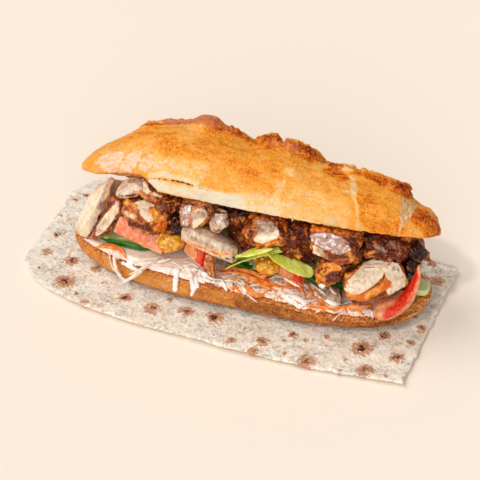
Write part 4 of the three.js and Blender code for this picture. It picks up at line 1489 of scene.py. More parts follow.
@dataclass
class ChickenHeap:
    """The sliced chicken, piece by piece.

    Each piece gets `facets` flat cuts, up to `paring` of its reach deep. Crust that stands `proud` mm out of
    the skin round it gets a painted highlight in amber, and what lies as deep gets painted shade in dark.
    """

    grain: float = 0.6
    facets: int = 12
    paring: float = 0.12
    crags: Relief = ((9, 3.2), (4, 2.6), (1.8, 1.5))
    evenness: float = 0.8
    proud: float = 0.25
    proud_highlight: float = 0.5
    proud_highlight_on_char: float = 0.25
    hollow_shade: float = 0.7
    sauce_depth: float = 0.7
    cuts: tuple[Cut, ...] = (
        Cut("end_strip", Slot.PALE, ((Coat.FLESH, 1.0),), (
            (Coat.GREY_AND_SHADE, Mark(((109, 187), (105, 197), (100, 207)), 1.6, 1.8, 0.9)),
            (Coat.AMBER_AND_HIGHLIGHT, Mark(((110, 186), (104, 201)), 0.2, 1.0, 0.6)),
            (Coat.AMBER_AND_HIGHLIGHT, Mark(((84, 240), (90, 238)), 1.0, 2.0)),
            (Coat.DARK, Mark(((101, 214), (94, 228), (88, 238)), 0.4, 1.2, 0.9)),
            (Coat.DARK, Mark(((84, 241), (91, 241)), 1.0, 1.6, 0.9)),
        ), crag=0.5),
        Cut("left_slice", Slot.PALE, (), (
            (Coat.FLESH, Mark(((117, 202), (119, 209), (112, 221), (104, 230), (97, 235), (98, 227),
                               (107, 214)), 0.4, 1.2, filled=True)),
            (Coat.GREY_AND_SHADE, Mark(((104, 221), (98, 231)), 0.8, 2.0, 0.5)),
            (Coat.DARK, Mark(((111, 203), (103, 215), (95, 227), (89, 237)), 0.5, 1.2, 0.8)),
            (Coat.DARK, Mark(((120, 209), (113, 223), (104, 234), (95, 239)), 0.3, 1.0, 0.7)),
        ), crag=0.6),
        Cut("left_top", Slot.PALE, ((Coat.FLESH, 1.0), (Coat.GREY_AND_SHADE, 0.38)), (
            (Coat.GREY_AND_SHADE, Mark(((131, 181), (138, 180), (142, 184)), 1.5, 2.5, 0.95)),
            (Coat.GREY_AND_SHADE, Mark(((120, 190), (126, 186)), 0.8, 2.0, 0.7)),
            (Coat.AMBER_AND_HIGHLIGHT, Mark(((134, 192), (140, 191)), 0.2, 1.4, 0.7)),
            (Coat.DARK, Mark(((118, 196), (128, 196), (140, 194)), 0.4, 1.2, 0.7)),
        ), crag=1.0),
        Cut("under_flap", Slot.ROASTED, ((Coat.AMBER_AND_HIGHLIGHT, 0.2),), (
            (Coat.FLESH, Mark(((143, 185), (148, 190)), 1.6, 2.0, 0.8)),
            (Coat.FLESH, Mark(((153, 194), (160, 196)), 0.8, 1.5, 0.7)),
            (Coat.DARK, Mark(((150, 187), (156, 191), (161, 193)), 0.8, 1.5, 0.9)),
        )),
        Cut("crusted_left", Slot.ROASTED, ((Coat.AMBER_AND_HIGHLIGHT, 0.36),), (
            (Coat.FLESH, Mark(((137, 203), (146, 200), (154, 209), (155, 218), (149, 221), (141, 213)),
                              0.5, 1.4, filled=True)),
            (Coat.FLESH, Mark(((126, 214), (134, 216)), 1.0, 2.2, 0.7)),
            (Coat.GREY_AND_SHADE, Mark(((150, 200), (158, 202), (162, 206)), 1.8, 2.2, 0.8)),
            # Amber crust with a painted highlight where it shines.
            (Coat.AMBER_AND_HIGHLIGHT, Mark(((153, 211), (158, 218), (164, 224)), 2.0, 2.2)),
            (Coat.AMBER_AND_HIGHLIGHT, Mark(((157, 227), (164, 232)), 1.8, 1.6)),
            (Coat.AMBER_AND_HIGHLIGHT, Mark(((128, 202), (133, 208)), 1.5, 2.5, 0.7)),
            (Coat.DARK, Mark(((122, 221), (132, 223), (142, 226), (150, 230)), 0.8, 1.4)),
            # Painted shade: this dark stroke along the top is the shade under the lid.
            (Coat.DARK, Mark(((134, 197), (146, 196)), 0.8, 2.0, 0.8)),
            (Coat.DARK, Mark(((168, 214), (170, 224)), 0.8, 1.6, 0.8)),
        ), crag=1.3),
        Cut("crust_high", Slot.ROASTED, ((Coat.DARK, 0.5),), (
            (Coat.AMBER_AND_HIGHLIGHT, Mark(((164, 197), (168, 201)), 1.0, 1.2)),
            (Coat.AMBER_AND_HIGHLIGHT, Mark(((180, 203), (183, 206)), 0.8, 1.2)),
        ), crag=1.6),
        Cut("charred_left", Slot.CHARRED, ((Coat.CHAR, 1.0),), crag=1.6),
        Cut("saucy_left", Slot.ROASTED, ((Coat.FLESH, 0.30),), (
            (Coat.SAUCE, Mark(((176, 217), (184, 207), (190, 206), (188, 216), (186, 228), (179, 224)),
                              0.5, 1.0, filled=True)),
            (Coat.FLESH, Mark(((192, 212), (200, 209), (206, 214), (203, 222), (194, 227)),
                              0.3, 1.6, filled=True)),
            (Coat.GREY_AND_SHADE, Mark(((194, 216), (203, 214)), 1.4, 2.5, 0.8)),
            (Coat.AMBER_AND_HIGHLIGHT, Mark(((194, 208), (199, 208)), 0.5, 1.5, 0.7)),
            (Coat.AMBER_AND_HIGHLIGHT, Mark(((198, 228), (205, 223)), 0.6, 1.5, 0.8)),
            (Coat.DARK, Mark(((207, 208), (210, 214)), 1.0, 1.6, 0.9)),
            (Coat.DARK, Mark(((186, 204), (196, 206)), 0.4, 1.2, 0.8)),
        )),
        Cut("saucy_bit", Slot.PALE, ((Coat.FLESH, 1.0), (Coat.GREY_AND_SHADE, 0.35)), (
            (Coat.SAUCE, Mark(((219, 219), (224, 219), (227, 225)), 1.6, 1.0)),
            (Coat.GREY_AND_SHADE, Mark(((212, 216), (214, 225)), 1.2, 2.0, 0.8)),
            (Coat.AMBER_AND_HIGHLIGHT, Mark(((211, 228), (216, 232)), 0.5, 1.5, 0.8)),
            (Coat.DARK, Mark(((216, 212), (223, 213)), 0.6, 1.5, 0.8)),
            (Coat.DARK, Mark(((228, 216), (228, 224), (224, 230), (217, 231)), 0.3, 1.6, 0.8)),
        ), crag=1.6),
        Cut("dark_high", Slot.CHARRED, ((Coat.DARK, 0.62),), (
            (Coat.AMBER_AND_HIGHLIGHT, Mark(((236, 221), (246, 218), (253, 221)), 1.0, 2.5, 0.6)),
            # Painted shadow: this char stroke along the top is the shadow under the lid.
            (Coat.CHAR, Mark(((218, 208), (232, 209), (246, 213)), 1.5, 2.5, 0.9)),
        ), crag=1.3),
        Cut("long", Slot.PALE, ((Coat.FLESH, 1.0), (Coat.GREY_AND_SHADE, 0.55)), (
            (Coat.GREY_AND_SHADE, Mark(((222, 234), (230, 240), (236, 246)), 1.2, 2.5, 0.95)),
            (Coat.GREY_AND_SHADE, Mark(((192, 238), (204, 244), (216, 249)), 0.5, 3.0, 0.8)),
            (Coat.AMBER_AND_HIGHLIGHT, Mark(((225, 253), (230, 255)), 0.4, 1.4, 0.8)),
            (Coat.AMBER_AND_HIGHLIGHT, Mark(((188, 242), (196, 246), (208, 250), (222, 255)), 0.3, 1.4, 0.85)),
            (Coat.AMBER_AND_HIGHLIGHT, Mark(((203, 233), (207, 231)), 0.2, 1.0, 0.5)),
            (Coat.DARK, Mark(((238, 246), (239, 254), (232, 259), (224, 259)), 0.4, 1.2, 0.8)),
        ), crag=0.8),
        Cut("under_long", Slot.ROASTED, ((Coat.DARK, 0.55),), crag=1.4),
        Cut("pale_middle", Slot.PALE, ((Coat.AMBER_AND_HIGHLIGHT, 0.30),), (
            (Coat.FLESH, Mark(((259, 222), (270, 222), (279, 231), (275, 238), (263, 244), (255, 240),
                               (260, 232)), 0.5, 1.2, filled=True)),
            (Coat.GREY_AND_SHADE, Mark(((257, 224), (262, 221), (270, 221), (275, 228), (268, 233), (260, 231)),
                             0.2, 3.6, 0.85, filled=True)),
            (Coat.AMBER_AND_HIGHLIGHT, Mark(((258, 245), (266, 245), (276, 241)), 0.8, 1.6)),
            (Coat.AMBER_AND_HIGHLIGHT, Mark(((247, 231), (249, 239)), 1.2, 2.0, 0.7)),
            (Coat.DARK, Mark(((280, 226), (283, 234)), 0.9, 1.6, 0.95)),
            (Coat.DARK, Mark(((251, 232), (249, 242)), 0.6, 1.6, 0.8)),
            (Coat.DARK, Mark(((244, 246), (252, 247)), 1.0, 1.6, 0.9)),
        ), crag=1.3),
        Cut("dark_middle", Slot.CHARRED, ((Coat.DARK, 0.62),), (
            (Coat.CHAR, Mark(((288, 228), (300, 229)), 1.0, 2.5, 0.55)),
            (Coat.CHAR, Mark(((303, 258), (306, 261)), 1.0, 1.8, 0.7)),
            (Coat.AMBER_AND_HIGHLIGHT, Mark(((296, 250), (299, 258)), 0.8, 1.6, 0.95)),
            (Coat.AMBER_AND_HIGHLIGHT, Mark(((308, 262), (314, 266)), 1.0, 1.6, 0.8)),
            (Coat.AMBER_AND_HIGHLIGHT, Mark(((292, 238), (298, 240)), 0.3, 1.4, 0.6)),
        ), crag=1.8),
        Cut("saucy_right", Slot.ROASTED, ((Coat.AMBER_AND_HIGHLIGHT, 0.25),), (
            (Coat.SAUCE, Mark(((308, 238), (318, 234), (331, 235), (344, 241), (349, 249), (340, 253),
                               (328, 249), (316, 243)), 0.4, 1.6, filled=True)),
            (Coat.AMBER_AND_HIGHLIGHT, Mark(((313, 228), (322, 229)), 1.6, 2.0)),
            (Coat.AMBER_AND_HIGHLIGHT, Mark(((308, 243), (311, 252), (316, 260)), 1.0, 1.8, 0.9)),
            (Coat.FLESH, Mark(((314, 247), (320, 250), (325, 260), (319, 263), (314, 256)),
                              0.3, 1.6, filled=True)),
            (Coat.GREY_AND_SHADE, Mark(((320, 251), (324, 258)), 1.2, 2.0, 0.7)),
            (Coat.DARK, Mark(((330, 257), (345, 256)), 1.2, 1.8, 0.8)),
            (Coat.DARK, Mark(((350, 238), (358, 244)), 1.5, 2.0, 0.8)),
        ), crag=1.3),
        Cut("right_high", Slot.CHARRED, ((Coat.DARK, 0.48),), (
            (Coat.CHAR, Mark(((362, 236), (376, 240), (384, 246)), 1.0, 2.5, 0.5)),
            (Coat.GREY_AND_SHADE, Mark(((388, 243), (398, 247)), 1.2, 2.0, 0.5)),
            (Coat.GREY_AND_SHADE, Mark(((376, 246), (384, 250)), 0.8, 2.0, 0.6)),
            (Coat.AMBER_AND_HIGHLIGHT, Mark(((366, 255), (376, 253)), 0.7, 1.2, 0.9)),
            (Coat.AMBER_AND_HIGHLIGHT, Mark(((404, 238), (409, 240)), 0.6, 1.4, 0.6)),
        ), crag=1.6),
        Cut("crusted_right", Slot.ROASTED, ((Coat.AMBER_AND_HIGHLIGHT, 0.30),), (
            (Coat.AMBER_AND_HIGHLIGHT, Mark(((322, 268), (330, 265), (340, 266)), 2.2, 2.0)),
            (Coat.AMBER_AND_HIGHLIGHT, Mark(((316, 268), (318, 276), (324, 280)), 0.9, 1.2)),
            (Coat.DARK, Mark(((332, 276), (342, 279), (350, 280)), 2.2, 2.0)),
            (Coat.DARK, Mark(((348, 266), (356, 270)), 2.5, 2.5)),
            (Coat.DARK, Mark(((326, 277), (328, 279)), 0.6, 1.0)),
        ), crag=1.8),
        Cut("right_chunk", Slot.PALE, ((Coat.AMBER_AND_HIGHLIGHT, 0.25),), (
            (Coat.FLESH, Mark(((346, 289), (353, 295), (362, 292), (372, 285), (381, 276), (387, 263),
                               (380, 258), (366, 263), (358, 272), (349, 282)), 0.5, 1.2, filled=True)),
            (Coat.FLESH, Mark(((390, 262), (397, 264), (404, 277), (403, 287), (395, 294), (389, 294),
                               (385, 284), (387, 270)), 0.4, 1.2, filled=True)),
            (Coat.GREY_AND_SHADE, Mark(((402, 278), (403, 286)), 0.6, 2.0, 0.5)),
            (Coat.AMBER_AND_HIGHLIGHT, Mark(((350, 297), (362, 298), (376, 292), (388, 284)), 1.6, 1.8)),
            (Coat.AMBER_AND_HIGHLIGHT, Mark(((386, 280), (385, 288)), 0.6, 1.4, 0.8)),
            (Coat.SAUCE, Mark(((393, 268), (397, 270)), 0.9, 1.2, 0.8)),
            (Coat.DARK, Mark(((352, 302), (366, 304), (380, 300)), 0.6, 1.5, 0.8)),
        ), crag=0.8),
        Cut("charred_right", Slot.CHARRED, ((Coat.CHAR, 1.0),), crag=2.0),
        Cut("low_bit", Slot.ROASTED, ((Coat.FLESH, 1.0), (Coat.GREY_AND_SHADE, 0.75)), (
            (Coat.DARK, Mark(((341, 290), (342, 300)), 0.8, 1.4, 0.9)),
        ), crag=1.2),
        Cut("hooked_end", Slot.CHARRED, ((Coat.DARK, 0.5),), crag=0.8),
        Cut("back_end_left", Slot.PALE, ((Coat.FLESH, 0.8), (Coat.AMBER_AND_HIGHLIGHT, 0.3))),
        Cut("back_end_right", Slot.ROASTED, ((Coat.DARK, 0.3),), crag=1.4),
        Cut("back_left", Slot.ROASTED, ((Coat.AMBER_AND_HIGHLIGHT, 0.35),), crag=1.4),
        Cut("back_middle", Slot.ROASTED, ((Coat.DARK, 0.3),), crag=1.4),
        Cut("back_middle_left", Slot.PALE, ((Coat.FLESH, 0.75), (Coat.GREY_AND_SHADE, 0.3))),
        Cut("back_middle_right", Slot.ROASTED, ((Coat.AMBER_AND_HIGHLIGHT, 0.3),), crag=1.4),
        Cut("back_right", Slot.PALE, ((Coat.FLESH, 0.75), (Coat.AMBER_AND_HIGHLIGHT, 0.3))),
    )

    def build(self, ground: Ground) -> None:
        """Shapes, marks and finishes each piece of chicken.

        Args:
            ground: Takes the pieces in.
        """
        finishes = {
            Slot.PALE: Chicken("pale_chicken").make(),
            Slot.ROASTED: Chicken("roasted_chicken").make(),
            Slot.CHARRED: Chicken(
                "charred_chicken", roast_light=(168, 84, 34), roast=(116, 46, 18), shine=0.3
            ).make(),
        }
        for cut in self.cuts:
            ground.add(self.build_cut(cut, finishes[cut.slot]))

    def build_cut(self, cut: Cut, finish: bpy.types.Material) -> Solid:
        """Shapes, marks and finishes one piece.

        Args:
            cut: How the piece looks.
            finish: Its material.

        Returns:
            The finished piece.
        """
        meat = Solid.copy_of(f"chicken_{cut.node}", f"meat_{cut.node}")
        self.slice_flat(meat, cut)
        share = {coat: meat.reach_of(mark for own, mark in cut.marks if own is coat) for coat in Coat}
        bare = 1 - np.maximum.reduce(list(share.values()))
        for coat, all_over in cut.over:
            spread = all_over if coat is Coat.FLESH else all_over * bare
            share[coat] = np.maximum(share[coat], spread)
        smooth = np.maximum(share[Coat.FLESH], share[Coat.SAUCE])
        meat.weigh("crags", 1 - self.evenness * smooth)
        meat.roughen(tuple((grain, height * cut.crag) for grain, height in self.crags), "crags")
        meat.soften(1)
        # Painted light: raised crust is drawn amber as a painted highlight, and hollows dark as painted
        # shade.
        out = meat.stands_out() / self.proud
        crusted = bare * (1 - share[Coat.FLESH])
        proud_highlight = self.proud_highlight_on_char if cut.slot is Slot.CHARRED else self.proud_highlight
        share[Coat.AMBER_AND_HIGHLIGHT] = np.maximum(share[Coat.AMBER_AND_HIGHLIGHT], proud_highlight * crusted * eased(out))
        share[Coat.DARK] = np.maximum(share[Coat.DARK], self.hollow_shade * crusted * eased(-out))
        for coat, values in share.items():
            meat.note(coat.value, values)
        meat.carve(share[Coat.SAUCE], self.sauce_depth)
        meat.dress(finish, cut.slot, f"chicken_{cut.node}")
        return meat

    def slice_flat(self, meat: Solid, cut: Cut) -> None:
        """Gives a piece its flat cut faces.

        Args:
            meat: The piece.
            cut: How it looks; its filled strokes of flesh are flat faces too.
        """
        meat.remesh(self.grain)
        meat.soften(2)
        meat.pare(cut.node, self.facets, self.paring)
        for coat, mark in cut.marks:
            if coat is Coat.FLESH and mark.filled:
                meat.flatten(meat.reach_of((mark,)))
        meat.remesh(self.grain)


@dataclass
class Salad:
    """Tomato, cucumber, lettuce and onion.

    The skins, on tomato, and the rinds, on cucumber, come with the end of their node's name.
    """

    grain: float = 0.55
    pulp_relief: Relief = ((4, 1.2),)
    tomato_relief: Relief = ((3, 0.3),)
    seed_size: tuple[float, float, float] = (0.9, 1.5, 0.7)
    skins: tuple[tuple[str, Mark], ...] = (
        ("middle_left", Mark(((197, 249), (206, 250), (208, 257), (203, 266), (196, 260)),
                             0.4, 1.2, filled=True)),
        ("middle_right", Mark(((294, 269), (306, 269), (309, 276), (298, 286), (292, 281)),
                              0.4, 1.2, filled=True)),
        ("wedge", Mark(((412, 268), (411, 282), (406, 295), (398, 307), (388, 315)), 1.6, 4.0, 0.86)),
        ("wedge", Mark(((415, 262), (416, 276), (412, 290)), 0.6, 2.0)),
    )
    rinds: tuple[tuple[str, Mark], ...] = (
        ("front_left", Mark(((100, 241), (118, 244.5), (136, 248.5), (156, 255)), 2.0, 2.6)),
        ("front_middle", Mark(((214, 258), (228, 263), (246, 268)), 3.0, 3.0)),
        ("front_right", Mark(((304, 279), (320, 284), (342, 289)), 3.0, 3.0)),
    )
    seeds: tuple[Pixel, ...] = (
        (157, 241), (162, 247), (166, 252), (171, 245), (161, 235), (175, 249), (167, 239), (173, 240),
        (255, 258), (258, 266), (262, 259), (265, 267), (269, 262), (272, 268), (251, 264), (266, 256),
    )

    def build(self, ground: Ground) -> None:
        """Shapes, marks and finishes each slice and leaf.

        Args:
            ground: Takes the slices and leaves in.
        """
        tomato = Tomato().make()
        for place in ("left", "middle_left", "middle_right", "back_left", "back_right", "wedge"):
            ground.add(self.build_tomato(place, tomato))
        jelly = SeedJelly().make()
        for place in ("pulp_left", "pulp_right"):
            pulp = Solid.copy_of(f"tomato_{place}", f"jelly_{place}")
            pulp.remesh(self.grain)
            pulp.soften(3)
            pulp.roughen(self.pulp_relief)
            pulp.dress(jelly, Slot.PULP, f"tomato_{place}")
            ground.add(pulp)
        cucumber = Cucumber().make()
        for place in ("front_left", "front_middle", "front_right", "end_right", "back_left", "back_right"):
            ground.add(self.build_cucumber(place, cucumber))
        leaf = Leaf().make()
        for place in ("front_high", "front_low", "front_tip", "under_meat", "back"):
            lettuce = Solid.copy_of(f"lettuce_{place}", f"leaf_{place}")
            lettuce.modify("SUBSURF", levels=2, render_levels=2)
            lettuce.dress(leaf, Slot.LETTUCE, f"lettuce_{place}")
            ground.add(lettuce)
        onion = Solid.copy_of("onion_strip", "onion_shred")
        onion.modify("SUBSURF", levels=2, render_levels=2)
        onion.dress(Onion().make(), Slot.ONION, "onion_strip")
        ground.add(onion)
        self.build_seeds(ground)

    def build_tomato(self, place: str, finish: bpy.types.Material) -> Solid:
        """Makes one piece of tomato.

        Args:
            place: The end of its node's name.
            finish: Its material.

        Returns:
            The finished piece.
        """
        piece = Solid.copy_of(f"tomato_{place}", f"tomato_slice_{place}")
        piece.remesh(self.grain)
        piece.soften(2)
        skin = piece.reach_of(mark for name, mark in self.skins if name == place)
        if not skin.any():
            skin = piece.facing(Heading.FRONT_RIGHT, 0.75, 0.95)
        piece.note("skin", skin)
        piece.roughen(self.tomato_relief)
        piece.dress(finish, Slot.TOMATO, f"tomato_{place}")
        return piece

    def build_cucumber(self, place: str, finish: bpy.types.Material) -> Solid:
        """Makes one slice of cucumber.

        Args:
            place: The end of its node's name.
            finish: Its material.

        Returns:
            The finished piece.
        """
        piece = Solid.copy_of(f"cucumber_{place}", f"cucumber_slice_{place}")
        piece.remesh(self.grain)
        piece.soften(2)
        faces = np.maximum(piece.facing(Heading.UP, 0.25, 0.5), piece.facing(Heading.DOWN, 0.25, 0.5))
        places = piece.places()
        far = np.linalg.norm(places - places.mean(0), axis=1)
        drawn = piece.reach_of(mark for name, mark in self.rinds if name == place)
        peeled = place == "end_right"
        piece.note("skin", np.maximum(eased(2 * drawn - 0.9), 0.0 if peeled else 1 - faces))
        edge = eased((far / far.max() - 0.66) / 0.26) * (0.1 if peeled else 1.0)
        piece.note("rim", np.maximum(eased(2 * drawn), edge))
        piece.dress(finish, Slot.CUCUMBER, f"cucumber_{place}")
        return piece

    def build_seeds(self, ground: Ground) -> None:
        """Sinks tomato seeds into the jelly.

        Args:
            ground: The food that they lie on.
        """
        seeds = Clump("tomato_seeds", 17)
        for pixel in self.seeds:
            seeds.drop(ground.seen(pixel), self.seed_size, 0.15)
        solid = seeds.make()
        solid.modify("SUBSURF", levels=1, render_levels=1)
        solid.dress(Shred("tomato_seed", (236, 200, 96), (250, 228, 150)).make(), Slot.PULP)


@dataclass
class SlawCore:
    """The slaw's own core, which the shreds and the sauce are laid over.

    It lies smooth at the left and loose at the right, from `middle` on over `turn` mm.
    """

    grain: float = 0.9
    middle: float = -25.0
    turn: float = 30.0
    relief: Relief = ((4, 2.0), (1.8, 1.0))
    orange: float = 0.42

    def build(self, ground: Ground) -> None:
        """Shapes, marks and finishes the core.

        Args:
            ground: Takes the core in.
        """
        core = Solid.copy_of("slaw_bed", "slaw_core")
        core.remesh(self.grain)
        core.soften(2)
        loose = 0.25 + 0.75 * eased((core.places()[:, 0] - self.middle) / self.turn)
        core.weigh("loose", loose)
        core.roughen(self.relief, "loose")
        core.note("carrot", self.orange * loose)
        core.dress(Slaw().make(), Slot.SLAW, "slaw_bed")
        ground.add(core)


@dataclass(frozen=True)
class Vegetable:
    """One kind of shred: the strands that show and how many more are drawn in each region."""

    name: str
    strands: tuple[Strand, ...]
    finish: Shred
    dense: int
    smooth: int
    behind: int


@dataclass
class SlawShreds:
    """Carrot and cabbage shreds over the slaw's core.

    Those that show in the photograph are named by their pixels; the others are drawn in the
    regions where it shows them densely, where the slaw lies smooth, and along the back.
    """

    carrots: tuple[Strand, ...] = (
        Strand(((93, 250), (98, 247), (108, 246), (118, 249), (127, 257)), 3.2, 0.2),
        Strand(((103, 247), (112, 249), (122, 252)), 2.0, 0.8),
        Strand(((228, 270), (244, 268), (258, 272), (270, 278)), 3.0, 1.2),
        Strand(((218, 272), (232, 271), (250, 273), (266, 271)), 2.6, 1.0),
        Strand(((236, 276), (248, 279), (262, 288), (276, 293)), 3.4, 1.4),
        Strand(((250, 280), (262, 284), (280, 290), (292, 290)), 3.0, 1.6),
        Strand(((244, 283), (252, 292), (262, 298)), 3.0, 1.4),
        Strand(((240, 280), (234, 289), (229, 297)), 1.6, 0.5),
        Strand(((262, 274), (282, 278), (300, 283), (312, 290)), 2.0, 0.6),
        Strand(((299, 281), (302, 290), (306, 302)), 2.2, 1.2),
        Strand(((305, 279), (309, 288), (312, 298)), 1.8, 1.2),
        Strand(((300, 304), (316, 307), (334, 309), (352, 309), (372, 307)), 3.4, 0.6),
        Strand(((318, 300), (332, 305), (346, 308)), 2.0, 0.8),
        Strand(((418, 279), (424, 276), (430, 281)), 1.8, 0.6),
        Strand(((420, 275), (427, 279), (431, 286)), 1.4, 0.6),
        Strand(((252, 270), (262, 274), (266, 282), (276, 287)), 2.4, 1.4),
    )
    cabbages: tuple[Strand, ...] = (
        Strand(((109, 250), (111, 260), (115, 270), (121, 276), (132, 279)), 1.7, 0.8),
        Strand(((163, 254), (154, 262), (143, 270), (131, 278), (121, 284)), 2.2, 1.0),
        Strand(((158, 258), (146, 266), (134, 275), (124, 279)), 1.4, 1.4),
        Strand(((140, 262), (150, 260), (162, 258)), 1.4, 0.8),
        Strand(((236, 286), (244, 293), (252, 299), (258, 302)), 1.6, 0.8),
        Strand(((252, 270), (246, 275), (240, 281), (232, 283)), 1.6, 1.4),
        Strand(((252, 269), (250, 277), (246, 284)), 1.4, 1.2),
        Strand(((212, 276), (224, 274), (238, 276), (250, 279)), 1.4, 0.8),
        Strand(((200, 270), (210, 278), (222, 282)), 1.6, 0.8),
        Strand(((310, 286), (318, 292), (328, 300), (340, 305)), 3.0, 1.0),
        Strand(((320, 284), (330, 289), (336, 296)), 3.4, 0.8),
        Strand(((314, 296), (326, 303), (338, 307)), 1.8, 1.0),
        Strand(((345, 311), (340, 315), (333, 321)), 2.2, 0.6),
        Strand(((286, 278), (296, 284), (306, 293)), 1.6, 1.0),
    )
    dense: tuple[Pixel, ...] = (
        (196, 270), (230, 270), (262, 272), (306, 280), (340, 296), (366, 305), (350, 312), (318, 309),
        (286, 305), (258, 298), (226, 289), (204, 284),
    )
    smooth: tuple[Pixel, ...] = ((104, 246), (150, 258), (196, 264), (190, 276), (150, 268), (112, 256))
    in_front_on: tuple[str, ...] = ("slaw_core",)
    behind_on: tuple[str, ...] = ("slaw_core", "base_crust")
    seed: int = 23

    def build(self, ground: Ground) -> None:
        """Lays both kinds of shred.

        Args:
            ground: The food that they lie on.
        """
        rng = random.Random(self.seed)
        carrot = Vegetable(
            "carrot_shreds", self.carrots, Shred("carrot", (240, 116, 28), (255, 168, 84)),
            dense=60, smooth=0, behind=40,
        )
        cabbage = Vegetable(
            "cabbage_shreds", self.cabbages, Shred("cabbage", (242, 222, 194), (255, 250, 240)),
            dense=70, smooth=6, behind=60,
        )
        for kind in (carrot, cabbage):
            bundle = Bundle(kind.name, self.seed)
            for strand in kind.strands:
                bundle.trace(map(ground.seen, along(strand.path, 3.0)), strand.width, strand.rise)
            for region, count in ((self.dense, kind.dense), (self.smooth, kind.smooth)):
                for _ in range(count):
                    self.draw_front(bundle, ground, rng.choice(within(region, 2.0)), rng)
            for _ in range(kind.behind):
                self.draw_behind(bundle, ground, rng)
            bundle.make().dress(kind.finish.make(), Slot.SLAW)

    def draw_front(self, bundle: Bundle, ground: Ground, start: Pixel, rng: random.Random) -> None:
        """Lays a drawn shred over what the camera sees.

        Args:
            bundle: The shreds that it joins.
            ground: The food that it lies on.
            start: The pixel where it starts.
            rng: Where its shape is drawn from.
        """
        heading = rng.gauss(0.25, 0.55)
        bend = rng.uniform(-0.14, 0.14)
        path = [start]
        for _ in range(rng.randint(3, 9)):
            across, down = path[-1]
            path.append((across + 3 * math.cos(heading), down + 3 * math.sin(heading)))
            heading += bend
        width = rng.uniform(1.0, 2.3)
        rise = rng.uniform(0.1, 1.5)
        bundle.trace(map(ground.seen, path), width, rise, self.in_front_on)

    def draw_behind(self, bundle: Bundle, ground: Ground, rng: random.Random) -> None:
        """Lays a drawn shred along the back.

        Args:
            bundle: The shreds that it joins.
            ground: The food that it lies on.
            rng: Where its place and shape are drawn from.
        """
        across = rng.uniform(-96, 104)
        deep = rng.uniform(26, 43)
        heading = rng.gauss(0.0, 0.8)
        bend = rng.uniform(-0.14, 0.14)
        spots = []
        for _ in range(rng.randint(4, 11)):
            spots.append(ground.below(across, deep))
            across += 2 * math.cos(heading)
            deep += 2 * math.sin(heading)
            heading += bend
        width = rng.uniform(0.9, 1.9)
        rise = rng.uniform(0.1, 1.3)
        bundle.trace(spots, width, rise, self.behind_on)


@dataclass
class Sauce:
    """Thick white sauce that lies on the slaw and runs over the base's edge.

    Each of the dollops holds how wide it is in mm and the path that it follows.
    """

    dollops: tuple[tuple[float, tuple[Pixel, ...]], ...] = (
        (3.0, ((122, 263), (132, 268), (142, 272))),
        (2.4, ((128, 262), (144, 266), (160, 268), (176, 270))),
        (2.0, ((112, 252), (124, 258), (134, 262))),
        (4.4, ((177, 270), (176, 280), (175.5, 289))),
        (3.4, ((190, 272), (192, 282), (194, 290), (192, 295))),
        (2.8, ((196, 278), (198, 287))),
        (4.2, ((182, 268), (190, 270), (200, 271), (206, 275))),
        (3.0, ((200, 278), (210, 281), (222, 284))),
        (5.0, ((272, 287), (280, 293), (290, 300), (300, 306))),
        (5.6, ((276, 284), (286, 291), (296, 298), (306, 304))),
        (3.4, ((268, 285), (273, 280))),
        (3.2, ((298, 308), (308, 307))),
        (2.6, ((349, 312), (358, 313), (368, 312))),
        (2.8, ((364, 310), (372, 311), (373, 316))),
        (1.8, ((238, 283), (246, 287), (252, 290))),
    )
    specks: int = 60
    seed: int = 31
    flatness: float = 0.62
    grain: float = 0.5
    relief: Relief = ((3, 0.7),)

    def build(self, ground: Ground) -> None:
        """Shapes and finishes the sauce.

        Args:
            ground: The food that it lies on.
        """
        clump = Clump("thick_sauce", self.seed)
        rng = clump.rng
        region = within(SlawShreds.dense, 2.0)
        drops = [(wide, ground.seen(pixel)) for wide, path in self.dollops for pixel in along(path, 2.0)]
        specks = [(rng.uniform(1.6, 3.2), ground.seen(rng.choice(region))) for _ in range(self.specks)]
        drops += [(wide, spot) for wide, spot in specks if spot is not None and spot.owner == "slaw_core"]
        for wide, spot in drops:
            radius = wide / 2 * rng.uniform(0.7, 1.2)
            clump.drop(spot, (radius, radius, self.flatness * radius), 0.1 * radius + 0.4)
        sauce = clump.make()
        sauce.remesh(self.grain)
        sauce.soften(4)
        sauce.roughen(self.relief)
        sauce.dress(Dressing().make(), Slot.SLAW)


